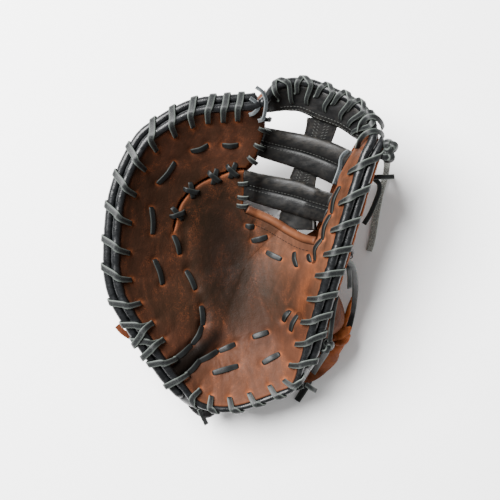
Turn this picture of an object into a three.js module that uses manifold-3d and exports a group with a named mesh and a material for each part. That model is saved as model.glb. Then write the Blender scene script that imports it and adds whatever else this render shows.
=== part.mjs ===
// First baseman mitt lying on its back with the pocket up. Millimetres, +Z up, +Y to the finger tips.
import * as THREE from "three";
import Module from "manifold-3d";

const wasm = await Module();
wasm.setup();

// Driving dimensions; the tables give places as shares of width, length and rim height
const MITT_WIDTH = 280;
const MITT_LENGTH = 330;
const RIM_HEIGHT = 130;
const CLEARANCE = 0.4;
const PALM_LEATHER = 3.2;
const PALM_PADDING = 3;
const BACK_LEATHER = 2.6;
const WEB_LEATHER = 4;
const ROLL_RADIUS = 4.3;
const HEEL_ROLL_RADIUS = 3.3;
const WRIST_ROLL_RADIUS = 2.8;
const POCKET_ROLL_RADIUS = 4.2;
const ROLL_SIDES = 6;
const ROLL_TILT = 25;
const STALL_DEPTH = 35;
const REST_DROP = 28;
const LACE_WIDTH = 6;
const LACE_THICKNESS = 1.8;
const LACE_SLIT = 0.5;
const LACE_SLACK = 0.65;
const TAIL_DIAMETER = 5.4;
const KNOT_RADIUS = 6.6;
const SLIT_WIDTH = 3;

// Pocket bottom, as shares of width, length and rim height
const POCKET = { across: -0.014, along: -0.036, up: 0.338 };

// Edge of the front leather and web, anticlockwise from the finger side of the web.
// steep is the power by which the wall climbs
const RIM = [
  { across: 0.037, along: 0.393, up: 0.862, steep: 1.7 },
  { across: -0.069, along: 0.381, up: 0.892, steep: 1.8 },
  { across: -0.176, along: 0.369, up: 0.908, steep: 1.9 },
  { across: -0.277, along: 0.323, up: 0.915, steep: 2 },
  { across: -0.342, along: 0.271, up: 0.908, steep: 2 },
  { across: -0.407, along: 0.142, up: 0.877, steep: 2 },
  { across: -0.426, along: -0.027, up: 0.831, steep: 1.9 },
  { across: -0.413, along: -0.114, up: 0.8, steep: 1.9 },
  { across: -0.375, along: -0.181, up: 0.762, steep: 1.8 },
  { across: -0.292, along: -0.295, up: 0.669, steep: 1.7 },
  { across: -0.213, along: -0.393, up: 0.562, steep: 1.5 },
  { across: -0.161, along: -0.441, up: 0.515, steep: 1.5 },
  { across: -0.05, along: -0.451, up: 0.492, steep: 1.5 },
  { across: 0.103, along: -0.407, up: 0.508, steep: 1.5 },
  { across: 0.143, along: -0.385, up: 0.538, steep: 1.6 },
  { across: 0.163, along: -0.328, up: 0.615, steep: 1.8 },
  { across: 0.182, along: -0.268, up: 0.692, steep: 2 },
  { across: 0.201, along: -0.201, up: 0.769, steep: 2.2 },
  { across: 0.235, along: -0.09, up: 0.862, steep: 2.4 },
  { across: 0.259, along: -0.022, up: 0.908, steep: 2.5 },
  { across: 0.316, along: 0.148, up: 0.977, steep: 2.4 },
  { across: 0.354, along: 0.251, up: 0.992, steep: 2.2 },
  { across: 0.384, along: 0.316, up: 0.977, steep: 1.9 },
  { across: 0.351, along: 0.382, up: 0.923, steep: 1.7 },
  { across: 0.243, along: 0.436, up: 0.838, steep: 1.6 },
  { across: 0.171, along: 0.455, up: 0.815, steep: 1.6 },
  { across: 0.097, along: 0.445, up: 0.823, steep: 1.6 },
];

// Soft folds pressed into the front leather
const CREASES = [
  {
    name: "thumb",
    from: { across: 0.207, along: -0.026 },
    to: { across: 0.153, along: -0.203 },
    depth: 3,
    width: 10,
  },
  {
    name: "heel hinge",
    from: { across: -0.225, along: -0.335 },
    to: { across: -0.12, along: -0.265 },
    depth: 5,
    width: 12,
  },
];

// Opening for the web: its finger side and thumb side, and the rolled pocket edge between them
const WEB_FINGER_SIDE = [
  { across: 0.05, along: 0.5 },
  { across: 0.053, along: 0.381 },
  { across: 0.05, along: 0.339 },
  { across: 0.03, along: 0.287 },
  { across: 0.01, along: 0.257 },
  { across: -0.02, along: 0.226 },
  { across: -0.021, along: 0.178 },
  { across: -0.026, along: 0.13 },
];
const WEB_THUMB_SIDE = [
  { across: 0.236, along: 0.063 },
  { across: 0.255, along: 0.111 },
  { across: 0.278, along: 0.165 },
  { across: 0.3, along: 0.218 },
  { across: 0.332, along: 0.267 },
  { across: 0.364, along: 0.314 },
  { across: 0.386, along: 0.343 },
  { across: 0.43, along: 0.39 },
];
const CROWN_LOWER_EDGE = [
  { across: 0.39, along: 0.285 },
  { across: 0.343, along: 0.311 },
  { across: 0.315, along: 0.329 },
  { across: 0.286, along: 0.345 },
  { across: 0.227, along: 0.366 },
  { across: 0.168, along: 0.39 },
  { across: 0.134, along: 0.393 },
  { across: 0.101, along: 0.392 },
  { across: 0.02, along: 0.378 },
];
const POCKET_EDGE = [
  { across: -0.01, along: 0.119 },
  { across: 0.07, along: 0.089 },
  { across: 0.136, along: 0.055 },
  { across: 0.179, along: 0.035 },
  { across: 0.218, along: 0.026 },
];

// Crescent cut between the finger part and the palm part
const CRESCENT = [
  { across: 0.01, along: 0.231 },
  { across: -0.051, along: 0.231 },
  { across: -0.092, along: 0.22 },
  { across: -0.127, along: 0.211 },
  { across: -0.164, along: 0.197 },
  { across: -0.195, along: 0.177 },
  { across: -0.223, along: 0.151 },
  { across: -0.243, along: 0.122 },
  { across: -0.257, along: 0.07 },
  { across: -0.261, along: 0.049 },
];

// Web pieces between the thumb and finger sides: top edge and bottom edge, left to right
const WEB_BARS = [
  {
    name: "web_bar_upper",
    top: [
      { across: 0.02, along: 0.352 },
      { across: 0.179, along: 0.329 },
      { across: 0.278, along: 0.301 },
      { across: 0.36, along: 0.262 },
    ],
    bottom: [
      { across: 0, along: 0.276 },
      { across: 0.147, along: 0.238 },
      { across: 0.24, along: 0.203 },
      { across: 0.31, along: 0.172 },
    ],
  },
  {
    name: "web_bar_lower",
    top: [
      { across: -0.03, along: 0.229 },
      { across: 0.144, along: 0.204 },
      { across: 0.21, along: 0.184 },
      { across: 0.3, along: 0.15 },
    ],
    bottom: [
      { across: -0.04, along: 0.152 },
      { across: 0.128, along: 0.109 },
      { across: 0.18, along: 0.096 },
      { across: 0.27, along: 0.07 },
    ],
  },
];
const WEB_POST = [
  { left: 0.187, right: 0.286, along: 0.372 },
  { left: 0.18, right: 0.278, along: 0.334 },
  { left: 0.151, right: 0.244, along: 0.238 },
  { left: 0.142, right: 0.23, along: 0.2 },
  { left: 0.105, right: 0.194, along: 0.11 },
  { left: 0.094, right: 0.18, along: 0.062 },
];

// Places where the back leather swells out: middle and half width in degrees, and out as a share of width
const SWELLS = [
  { angle: 320, halfWidth: 26, out: 0.09 },
  { angle: 15, halfWidth: 42, out: 0.03 },
];

// Angles about the pocket bottom, in degrees anticlockwise from the right
const FINGER_CORNER = 86;
const THUMB_CORNER = 406;
const CROWN_FROM = 408;
const CROWN_TO = 443;
const MOUTH = { from: 244, to: 300, ramp: 17 };
const FINGER_ROLL_END = 246;
const THUMB_ROLL_START = 298;

// Each lace turn comes up through the leather at hole and passes over the rolls at over
const FINGER_TURNS = [
  { hole: 93.3, over: 91 },
  { hole: 98.8, over: 96 },
  { hole: 104.7, over: 101.6 },
  { hole: 111.3, over: 107.3 },
  { hole: 119.2, over: 114.4 },
  { hole: 128.9, over: 122.1 },
  { hole: 138, over: 132.7 },
  { hole: 149.2, over: 143.3 },
  { hole: 161.7, over: 154.9 },
  { hole: 175.3, over: 168.8 },
  { hole: 188.5, over: 181 },
  { hole: 201.3, over: 195 },
  { hole: 212.8, over: 205.5 },
  { hole: 222.5, over: 214.5 },
  { hole: 232.8, over: 228 },
  { hole: 241, over: 240 },
];
const HEEL_TURNS = [
  { hole: 248.5, over: 251.5 },
  { hole: 255.4, over: 259.1 },
  { hole: 263.6, over: 267.7 },
  { hole: 272.3, over: 276.4 },
  { hole: 281.5, over: 285.7 },
];
const THUMB_TURNS = [
  { hole: 296, over: 300.5 },
  { hole: 304.5, over: 313.5 },
  { hole: 316, over: 326 },
  { hole: 331.4, over: 341 },
  { hole: 349.4, over: 356.5 },
  { hole: 364.8, over: 369.5 },
  { hole: 379, over: 382 },
  { hole: 390.6, over: 392.5 },
  { hole: 399.5, over: 400.5 },
];
const CROWN_TURNS = [
  { hole: 413.5, over: 412 },
  { hole: 418, over: 416.5 },
  { hole: 422.5, over: 421 },
  { hole: 427.5, over: 426 },
  { hole: 432.5, over: 431 },
  { hole: 438, over: 436 },
];

// Small helpers
const radians = (degrees) => (degrees * Math.PI) / 180;
const mix = (a, b, t) => a + (b - a) * t;
const clamp01 = (t) => Math.min(1, Math.max(0, t));
const smooth = (t) => clamp01(t) ** 2 * (3 - 2 * clamp01(t));
const placed = (row) => [row.across * MITT_WIDTH, row.along * MITT_LENGTH];
const UP = new THREE.Vector3(0, 0, 1);

const CENTRE = { x: POCKET.across * MITT_WIDTH, y: POCKET.along * MITT_LENGTH, z: POCKET.up * RIM_HEIGHT };

// The rim as a closed smooth curve, tabulated by angle about the pocket bottom
const STEPS = 1440;
function tabulateRim() {
  const keys = ["x", "y", "up", "steep"];
  const rows = RIM.map((r) => ({
    x: r.across * MITT_WIDTH,
    y: r.along * MITT_LENGTH,
    up: r.up * RIM_HEIGHT,
    steep: r.steep,
  }));
  const fine = [];
  const n = rows.length;
  for (let i = 0; i < n; i++) {
    const four = [-1, 0, 1, 2].map((k) => rows[(i + k + n) % n]);
    for (let s = 0; s < 30; s++) {
      const t = s / 30;
      const point = {};
      for (const key of keys) {
        const [a, b, c, d] = four.map((row) => row[key]);
        const square = 2 * a - 5 * b + 4 * c - d;
        const cube = 3 * b - 3 * c + d - a;
        point[key] = 0.5 * (2 * b + (c - a) * t + square * t * t + cube * t ** 3);
      }
      fine.push(point);
    }
  }
  let last = 0;
  for (const p of fine) {
    let angle = Math.atan2(p.y - CENTRE.y, p.x - CENTRE.x);
    while (angle < last - Math.PI) angle += 2 * Math.PI;
    p.angle = angle;
    p.radius = Math.hypot(p.x - CENTRE.x, p.y - CENTRE.y);
    last = angle;
  }
  const table = [];
  const count = fine.length;
  const at = (k) => {
    const turn = Math.floor(k / count);
    const p = fine[k - turn * count];
    return { ...p, angle: p.angle + turn * 2 * Math.PI };
  };
  let k = -count;
  for (let s = 0; s < STEPS; s++) {
    const angle = (s / STEPS) * 2 * Math.PI;
    while (at(k + 1).angle < angle) k++;
    const [a, b] = [at(k), at(k + 1)];
    const t = (angle - a.angle) / (b.angle - a.angle);
    table.push({
      radius: mix(a.radius, b.radius, t),
      up: mix(a.up, b.up, t),
      steep: mix(a.steep, b.steep, t),
    });
  }
  return table;
}
const rimTable = tabulateRim();

function rimAt(angle) {
  const place = ((((angle / (2 * Math.PI)) % 1) + 1) % 1) * STEPS;
  const i = Math.floor(place) % STEPS;
  const [a, b, t] = [rimTable[i], rimTable[(i + 1) % STEPS], place - Math.floor(place)];
  return {
    radius: mix(a.radius, b.radius, t),
    up: mix(a.up, b.up, t),
    steep: mix(a.steep, b.steep, t),
  };
}

function creaseAt(x, y) {
  let low = 0;
  for (const c of CREASES) {
    const [ax, ay] = placed(c.from);
    const [bx, by] = [c.to.across * MITT_WIDTH - ax, c.to.along * MITT_LENGTH - ay];
    const t = clamp01(((x - ax) * bx + (y - ay) * by) / (bx * bx + by * by));
    const away = Math.hypot(x - ax - bx * t, y - ay - by * t) / c.width;
    low += c.depth * Math.exp(-away * away);
  }
  return low;
}

// Height of the front surface over a plan position
function frontHeight(x, y, creased = true) {
  const edge = rimAt(Math.atan2(y - CENTRE.y, x - CENTRE.x));
  const share = Math.hypot(x - CENTRE.x, y - CENTRE.y) / edge.radius;
  return CENTRE.z + (edge.up - CENTRE.z) * share ** edge.steep - (creased ? creaseAt(x, y) : 0);
}

function frontNormal(x, y, creased = true) {
  const d = 1.5;
  const dx = frontHeight(x + d, y, creased) - frontHeight(x - d, y, creased);
  const dy = frontHeight(x, y + d, creased) - frontHeight(x, y - d, creased);
  return new THREE.Vector3(-dx, -dy, 2 * d).normalize();
}

// A point of the front surface, moved down into the leather by below
function frontPoint(x, y, below, creased = true) {
  const top = new THREE.Vector3(x, y, frontHeight(x, y, creased));
  return top.addScaledVector(frontNormal(x, y, creased), -below);
}

// The same, moved down along the surface as it is without its creases
function underFront(x, y, below) {
  return new THREE.Vector3(x, y, frontHeight(x, y)).addScaledVector(frontNormal(x, y, false), -below);
}

function planPoint(angle, share) {
  const reach = rimAt(angle).radius * share;
  return [CENTRE.x + Math.cos(angle) * reach, CENTRE.y + Math.sin(angle) * reach];
}

// A point near the rim: out is away from the pocket, up is vertical, both from the leather's edge
function rimPoint(angle, out, up) {
  const step = 0.02;
  const [ax, ay] = planPoint(angle - step, 1);
  const [bx, by] = planPoint(angle + step, 1);
  const [x, y] = planPoint(angle, 1);
  const along = new THREE.Vector3(bx - ax, by - ay, 0).normalize();
  const away = new THREE.Vector3(along.y, -along.x, 0);
  return new THREE.Vector3(x, y, rimAt(angle).up + up).addScaledVector(away, out);
}

// Closed bodies
function solid(points, triangles) {
  const make = (faces) =>
    new wasm.Manifold(
      new wasm.Mesh({
        numProp: 3,
        vertProperties: new Float32Array(points.flatMap((p) => [p.x, p.y, p.z])),
        triVerts: new Uint32Array(faces.flat()),
      }),
    );
  const made = make(triangles);
  return made.volume() > 0 ? made : make(triangles.map(([a, b, c]) => [a, c, b]));
}

// A bowl between an outer and an inner face, each given by angle and share of the radius
function bowl(shares, turns, outer, inner) {
  const points = [];
  const triangles = [];
  for (const face of [outer, inner]) {
    points.push(face(0, 0));
    for (const share of shares) {
      for (let i = 0; i < turns; i++) points.push(face((i / turns) * 2 * Math.PI, share));
    }
  }
  const per = 1 + shares.length * turns;
  const at = (side, ring, i) => side * per + 1 + ring * turns + (i % turns);
  for (const side of [0, 1]) {
    const add = (a, b, c) => triangles.push(side ? [a, c, b] : [a, b, c]);
    for (let i = 0; i < turns; i++) {
      add(side * per, at(side, 0, i), at(side, 0, i + 1));
      for (let k = 0; k + 1 < shares.length; k++) {
        add(at(side, k, i), at(side, k + 1, i), at(side, k + 1, i + 1));
        add(at(side, k, i), at(side, k + 1, i + 1), at(side, k, i + 1));
      }
    }
  }
  const last = shares.length - 1;
  for (let i = 0; i < turns; i++) {
    triangles.push([at(0, last, i), at(1, last, i), at(1, last, i + 1)]);
    triangles.push([at(0, last, i), at(1, last, i + 1), at(0, last, i + 1)]);
  }
  return solid(points, triangles);
}

// A row of closed sections joined from first to last, with flat ends
function loft(rings) {
  const sides = rings[0].length;
  const points = rings.flat();
  const triangles = [];
  for (let k = 0; k + 1 < rings.length; k++)
    for (let i = 0; i < sides; i++) {
      const [a, b] = [k * sides + i, k * sides + ((i + 1) % sides)];
      triangles.push([a, b, b + sides], [a, b + sides, a + sides]);
    }
  const end = (rings.length - 1) * sides;
  for (let i = 1; i + 1 < sides; i++) triangles.push([0, i + 1, i], [end, end + i, end + i + 1]);
  return solid(points, triangles);
}

function roll(path, radius) {
  const rings = path.map((p, k) => {
    const along = path[Math.min(k + 1, path.length - 1)].clone().sub(path[Math.max(k - 1, 0)]).normalize();
    const side = new THREE.Vector3().crossVectors(along, UP).normalize();
    const top = new THREE.Vector3().crossVectors(side, along);
    return Array.from({ length: ROLL_SIDES }, (_, i) => {
      const turn = (i / ROLL_SIDES) * 2 * Math.PI;
      const r = typeof radius === "function" ? radius(k) : radius;
      return p.clone().addScaledVector(side, Math.cos(turn) * r).addScaledVector(top, Math.sin(turn) * r);
    });
  });
  return loft(rings);
}

// A flat strap along a path whose rows say which way its face looks
function strap(path, width, thickness) {
  const rings = path.map(({ at, face }, k) => {
    const [before, after] = [path[Math.max(k - 1, 0)], path[Math.min(k + 1, path.length - 1)]];
    const along = after.at.clone().sub(before.at).normalize();
    const side = new THREE.Vector3().crossVectors(along, face).normalize();
    const normal = new THREE.Vector3().crossVectors(side, along).normalize();
    const corner = (s, n) =>
      at.clone().addScaledVector(side, (s * width) / 2).addScaledVector(normal, (n * thickness) / 2);
    return [corner(-1, -1), corner(1, -1), corner(1, 1), corner(-1, 1)];
  });
  return loft(rings);
}

// A patch of leather between two edges given in plan; upper and lower are its depths below the surface
function patch(top, bottom, columns, rows, upper, lower) {
  const along = (edge, t) => {
    const place = t * (edge.length - 1);
    const i = Math.min(Math.floor(place), edge.length - 2);
    return [0, 1].map((axis) => mix(edge[i][axis], edge[i + 1][axis], place - i));
  };
  const rings = [];
  for (let c = 0; c <= columns; c++) {
    const [a, b] = [along(top, c / columns), along(bottom, c / columns)];
    const plan = (r) => [0, 1].map((axis) => mix(a[axis], b[axis], r / rows));
    const ring = [];
    for (let r = 0; r <= rows; r++) ring.push(frontPoint(...plan(r), upper(c / columns, r / rows), false));
    for (let r = rows; r >= 0; r--) ring.push(frontPoint(...plan(r), lower(c / columns, r / rows), false));
    rings.push(ring);
  }
  return loftStrip(rings);
}

// Like loft, with the end sections closed as strips of their two faces
function loftStrip(rings) {
  const sides = rings[0].length;
  const points = rings.flat();
  const triangles = [];
  for (let k = 0; k + 1 < rings.length; k++)
    for (let i = 0; i < sides; i++) {
      const [a, b] = [k * sides + i, k * sides + ((i + 1) % sides)];
      triangles.push([a, b, b + sides], [a, b + sides, a + sides]);
    }
  const end = (rings.length - 1) * sides;
  for (let i = 0; i + 1 < sides / 2; i++) {
    const [a, b, c, d] = [i, i + 1, sides - 2 - i, sides - 1 - i];
    triangles.push([a, c, b], [a, d, c], [end + a, end + b, end + c], [end + a, end + c, end + d]);
  }
  return solid(points, triangles);
}

function prism(outline, from = -20, to = 2 * RIM_HEIGHT) {
  const flat = new wasm.CrossSection([outline], "Positive");
  const area = flat.area() > 0 ? flat : new wasm.CrossSection([[...outline].reverse()], "Positive");
  return area.extrude(to - from).translate([0, 0, from]);
}

// An open line in plan widened to a closed outline
function widened(line, width) {
  const sides = line.map((p, k) => {
    const [a, b] = [line[Math.max(k - 1, 0)], line[Math.min(k + 1, line.length - 1)]];
    const size = Math.hypot(b[0] - a[0], b[1] - a[1]);
    return [(-(b[1] - a[1]) / size) * (width / 2), ((b[0] - a[0]) / size) * (width / 2)];
  });
  const left = line.map((p, k) => [p[0] + sides[k][0], p[1] + sides[k][1]]);
  const right = line.map((p, k) => [p[0] - sides[k][0], p[1] - sides[k][1]]);
  return [...left, ...right.reverse()];
}

// Web opening in plan
const pocketEdge = POCKET_EDGE.map(placed);
const pocketSides = widened(pocketEdge, 2 * (POCKET_ROLL_RADIUS + CLEARANCE));
const pocketEdgeInner = pocketSides.slice(POCKET_EDGE.length).reverse();
const beyondWeb = [0.45 * MITT_WIDTH, 0.6 * MITT_LENGTH];
const webSides = [...WEB_THUMB_SIDE.map(placed), beyondWeb, ...WEB_FINGER_SIDE.map(placed)];
const webOutline = [...webSides, ...pocketEdgeInner];
const webOpening = prism(webOutline);
function shrunk(outline, by) {
  const flat = new wasm.CrossSection([outline], "Positive");
  const area = flat.area() > 0 ? flat : new wasm.CrossSection([[...outline].reverse()], "Positive");
  return area.offset(-by, "Miter").extrude(2 * RIM_HEIGHT + 20).translate([0, 0, -20]);
}
const insideWeb = shrunk(webOutline, CLEARANCE);

// Rolls round the rim
const HEEL = { from: 236, to: 306, ramp: 12 };
const heelShare = (angle) => {
  const ramp = radians(HEEL.ramp);
  return smooth((angle - radians(HEEL.from)) / ramp) * smooth((radians(HEEL.to) - angle) / ramp);
};
const frontRadius = (angle) => mix(ROLL_RADIUS, HEEL_ROLL_RADIUS, heelShare(angle));
// Centres of the first roll against the leather's edge and of the second beside it, out and up from the rim
function seats(angle, leather) {
  const inner = rimPoint(angle, -2, 0);
  const slope = Math.atan2(rimAt(angle).up - frontHeight(inner.x, inner.y, false), 2);
  const reach = frontRadius(angle) + 1.6 * CLEARANCE;
  const first = {
    out: (leather / 2) * Math.sin(slope) + reach * Math.cos(slope),
    up: reach * Math.sin(slope) - (leather / 2) * Math.cos(slope),
  };
  const step = frontRadius(angle) + ROLL_RADIUS + CLEARANCE;
  const tilt = radians(ROLL_TILT);
  const second = { out: first.out + step * Math.cos(tilt), up: first.up - step * Math.sin(tilt) };
  return { first, second, slope: (slope * 180) / Math.PI };
}
function frontRollCentre(angle, leather = PALM_LEATHER) {
  const { first } = seats(angle, leather);
  return rimPoint(angle, first.out, first.up);
}

// How far the back leather is opened down to the floor, where the hand goes in
function mouthAt(angle) {
  const turn = ((angle % (2 * Math.PI)) + 2 * Math.PI) % (2 * Math.PI);
  const ramp = radians(MOUTH.ramp);
  return smooth((turn - radians(MOUTH.from)) / ramp) * smooth((radians(MOUTH.to) - turn) / ramp);
}
const WRIST_OUT = 8;
function backRollCentre(angle) {
  const { second } = seats(angle, PALM_LEATHER);
  const high = rimPoint(angle, second.out, second.up);
  const low = rimPoint(angle, WRIST_OUT, 0);
  low.z = WRIST_ROLL_RADIUS;
  return high.lerp(low, mouthAt(angle));
}
const backRadius = (angle) => mix(ROLL_RADIUS, WRIST_ROLL_RADIUS, mouthAt(angle));

function floorAt(z, lowest) {
  const soft = 5;
  const d = z - lowest;
  if (d >= soft) return z;
  if (d <= -soft) return lowest;
  return lowest + (d + soft) ** 2 / (4 * soft);
}

// Swelling of the back leather beyond the rolls: outward, and down by a share of that
const EDGE_RISE = 8;
const SWELL_DROP = 0.45;
function swellAt(angle, share) {
  const degrees = (((angle * 180) / Math.PI) % 360 + 360) % 360;
  const height = smooth((share - 0.5) / 0.3) * smooth((1 - share) / 0.1);
  let out = 0;
  for (const swell of SWELLS) {
    const away = Math.abs(((degrees - swell.angle + 540) % 360) - 180) / swell.halfWidth;
    if (away < 1) out += swell.out * MITT_WIDTH * height * Math.cos((away * Math.PI) / 2) ** 2;
  }
  return new THREE.Vector3(Math.cos(angle) * out, Math.sin(angle) * out, -SWELL_DROP * out);
}

// The back leather follows the front at the depth of a finger stall, and lies flat on the floor below it
function backPoint(angle, share, inside) {
  const [x, y] = planPoint(angle, share);
  const mouth = mouthAt(angle);
  const middle = mix(STALL_DEPTH + REST_DROP, STALL_DEPTH, smooth(share / 0.75));
  const depth = middle - EDGE_RISE * smooth((share - 0.7) / 0.3);
  const side = frontPoint(x, y, depth - inside, false).add(swellAt(angle, share));
  const edge = backRollCentre(angle);
  const seat = backRadius(angle) + CLEARANCE;
  const rim = rimPoint(angle, 0, 0);
  const away = new THREE.Vector3(edge.x - rim.x, edge.y - rim.y, 0).normalize();
  const high = edge.clone().addScaledVector(away, -0.7 * seat - inside);
  high.z -= 0.75 * seat + 0.2;
  const low = edge.clone().addScaledVector(away, -seat);
  low.z = inside;
  const end = high.lerp(low, mouth);
  const flat = new THREE.Vector3(mix(CENTRE.x, end.x, share), mix(CENTRE.y, end.y, share), inside);
  const wall = side.lerp(high, smooth((share - 0.8) / 0.2));
  if (share >= 1) return new THREE.Vector3(end.x, end.y, Math.max(end.z, inside));
  const point = wall.lerp(flat, mouth);
  point.z = floorAt(point.z, inside);
  return point;
}

// Rim lacing: turns over the rolls, joined under the leather by a run
const HOLE_INSET = 6.5;
const RUN_DROP = 2 * CLEARANCE + LACE_SLIT + LACE_SLACK + LACE_THICKNESS / 2;
function laceTurn(turn, leather, double) {
  const [hole, over] = [radians(turn.hole), radians(turn.over)];
  const lift = CLEARANCE + LACE_THICKNESS / 2 + LACE_SLACK;
  const path = [];
  const add = (t, out, up, faceOut, faceUp) => {
    const angle = mix(hole, over, t);
    const at = rimPoint(angle, out, up);
    const face = rimPoint(angle, faceOut, faceUp).sub(rimPoint(angle, 0, 0));
    path.push({ at, face });
  };
  const through = (out, below, tilt) => {
    const p = rimPoint(hole, out, 0);
    const normal = frontNormal(p.x, p.y, false);
    const inward = rimPoint(hole, -1, 0).sub(rimPoint(hole, 0, 0));
    const face = inward.addScaledVector(normal, tilt - inward.dot(normal));
    path.push({ at: underFront(p.x, p.y, below), face });
  };
  const r = frontRadius(mix(hole, over, 0.5));
  through(-HOLE_INSET, leather + RUN_DROP + LACE_THICKNESS / 3, 0);
  through(-HOLE_INSET, -0.6, 0);
  through(-HOLE_INSET + 1.5, -2.2, 0.8);
  const round = (t, seat, radius, degrees) => {
    const angle = mix(hole, over, t);
    const centre = seats(angle, leather)[seat];
    const reach = radius + lift;
    const [c, s] = [Math.cos(radians(degrees)), Math.sin(radians(degrees))];
    add(t, centre.out + reach * c, centre.up + reach * s, c, s);
  };
  const start = 90 + seats(hole, leather).slope;
  round(0.12, "first", r, start);
  round(0.25, "first", r, mix(start, 66, 0.5));
  round(0.5, "first", r, 66);
  if (double) {
    round(0.85, "second", ROLL_RADIUS, 62);
    round(0.95, "second", ROLL_RADIUS, 18);
    round(1.02, "second", ROLL_RADIUS, -28);
  } else {
    round(0.75, "first", r, 15);
    round(0.95, "first", r, -35);
    round(1, "first", r, -80);
  }
  return path;
}

function lacing(turns, leather, double, grown = 0) {
  const [wide, thick] = [LACE_WIDTH + 2 * grown, LACE_THICKNESS + 2 * grown];
  const pieces = turns.map((turn) => strap(laceTurn(turn, leather, double), wide, thick));
  const [from, to] = [turns[0].hole, turns[turns.length - 1].hole];
  const count = Math.max(2, Math.ceil(Math.abs(to - from) / 5));
  const run = [];
  for (let k = 0; k <= count; k++) {
    const angle = radians(mix(from, to, k / count));
    const p = rimPoint(angle, -HOLE_INSET, 0);
    run.push({ at: underFront(p.x, p.y, leather + RUN_DROP), face: frontNormal(p.x, p.y, false) });
  }
  pieces.push(strap(run, wide - 1, thick));
  return wasm.Manifold.union(pieces).simplify(0.03);
}

const arc = (from, to, step) => {
  const inner = [];
  for (let k = Math.ceil(from / step + 0.1); k * step < to - 0.1 * step; k++) inner.push(k * step);
  return [from, ...inner, to].map(radians);
};

const TURNS = 60;
// Rolled bindings, each grown by a little where a lace is cut clear of them
const TURN_STEP = 360 / TURNS;
function frontRollBody(grown = 0) {
  const angles = arc(FINGER_CORNER, THUMB_CORNER, TURN_STEP);
  return roll(
    angles.map((angle) => frontRollCentre(angle)),
    (k) => frontRadius(angles[k]) + grown,
  );
}
function backRollBody(from, to, grown = 0) {
  const angles = arc(from, to, TURN_STEP);
  return roll(angles.map(backRollCentre), (k) => backRadius(angles[k]) + grown);
}
function crownRollBody(grown = 0) {
  const path = arc(CROWN_FROM, CROWN_TO, 3).map((angle) => frontRollCentre(angle, WEB_LEATHER));
  return roll(path, ROLL_RADIUS + grown);
}
const SEAT = 0.75 * CLEARANCE;
const fingerLace = lacing(FINGER_TURNS, PALM_LEATHER, true)
  .subtract(frontRollBody(SEAT))
  .subtract(backRollBody(FINGER_CORNER, FINGER_ROLL_END, SEAT));
const heelLace = lacing(HEEL_TURNS, PALM_LEATHER, false).subtract(frontRollBody(SEAT));
const thumbLace = lacing(THUMB_TURNS, PALM_LEATHER, true)
  .subtract(frontRollBody(SEAT))
  .subtract(backRollBody(THUMB_ROLL_START, THUMB_CORNER, SEAT));
const crownLace = lacing(CROWN_TURNS, WEB_LEATHER, false).subtract(crownRollBody(SEAT));

// Front leather, one padded bowl cut for the web, the crescent and the lace
const SHARES = [0.2, 0.4, 0.58, 0.73, 0.85, 0.94, 1];
const BACK_SHARES = [0.28, 0.52, 0.72, 0.87, 1];
const palmDepth = (share) => PALM_LEATHER + PALM_PADDING * (1 - smooth((share - 0.55) / 0.35));
const palmFace = (below) => (angle, share) => frontPoint(...planPoint(angle, share), below(share));
const crescent = prism(widened(CRESCENT.map(placed), SLIT_WIDTH));
const palm = wasm.Manifold.difference([
  bowl(SHARES, TURNS, palmFace(() => 0), palmFace(palmDepth)),
  webOpening,
  crescent,
  lacing(FINGER_TURNS, PALM_LEATHER, true, LACE_SLIT),
  lacing(HEEL_TURNS, PALM_LEATHER, false, LACE_SLIT),
  lacing(THUMB_TURNS, PALM_LEATHER, true, LACE_SLIT),
]);

// Back leathers and wrist strap, cut from one bowl
const back = bowl(
  BACK_SHARES,
  TURNS,
  (angle, share) => backPoint(angle, share, BACK_LEATHER),
  (angle, share) => backPoint(angle, share, 0),
);
const STRAP_TOP = -0.27 * MITT_LENGTH;
const SEAM_ACROSS = 0.03 * MITT_WIDTH;
const BACK_HOLE = { across: 0.01, along: -0.18, halfWidth: 0.15, halfLength: 0.085 };
const far = MITT_LENGTH;
const backHole = prism(
  Array.from({ length: 28 }, (_, i) => {
    const turn = (i / 28) * 2 * Math.PI;
    return [
      (BACK_HOLE.across + BACK_HOLE.halfWidth * Math.cos(turn)) * MITT_WIDTH,
      (BACK_HOLE.along + BACK_HOLE.halfLength * Math.sin(turn)) * MITT_LENGTH,
    ];
  }),
);
const half = CLEARANCE / 2;
const backOfWeb = prism([...webSides, pocketEdge[1], pocketEdge[3]]);
// The seam between the two back leathers, from the strap up into the web opening
const seam = (shift) => [
  [SEAM_ACROSS + shift, STRAP_TOP + half],
  [SEAM_ACROSS + shift, 0.16 * MITT_LENGTH],
  [0.12 * MITT_WIDTH + shift, 0.3 * MITT_LENGTH],
  [0.12 * MITT_WIDTH + shift, far],
];
const backSide = (shift, side) =>
  back
    .intersect(prism([...seam(shift), [side, far], [side, STRAP_TOP + half]]))
    .subtract(backOfWeb)
    .subtract(backHole);
const fingerBack = backSide(-half, -far);
const thumbBack = backSide(half, far);
const belowStrap = [
  [-far, -far],
  [far, -far],
  [far, STRAP_TOP - half],
  [-far, STRAP_TOP - half],
];
const wristStrap = back.intersect(prism(belowStrap));

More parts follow.
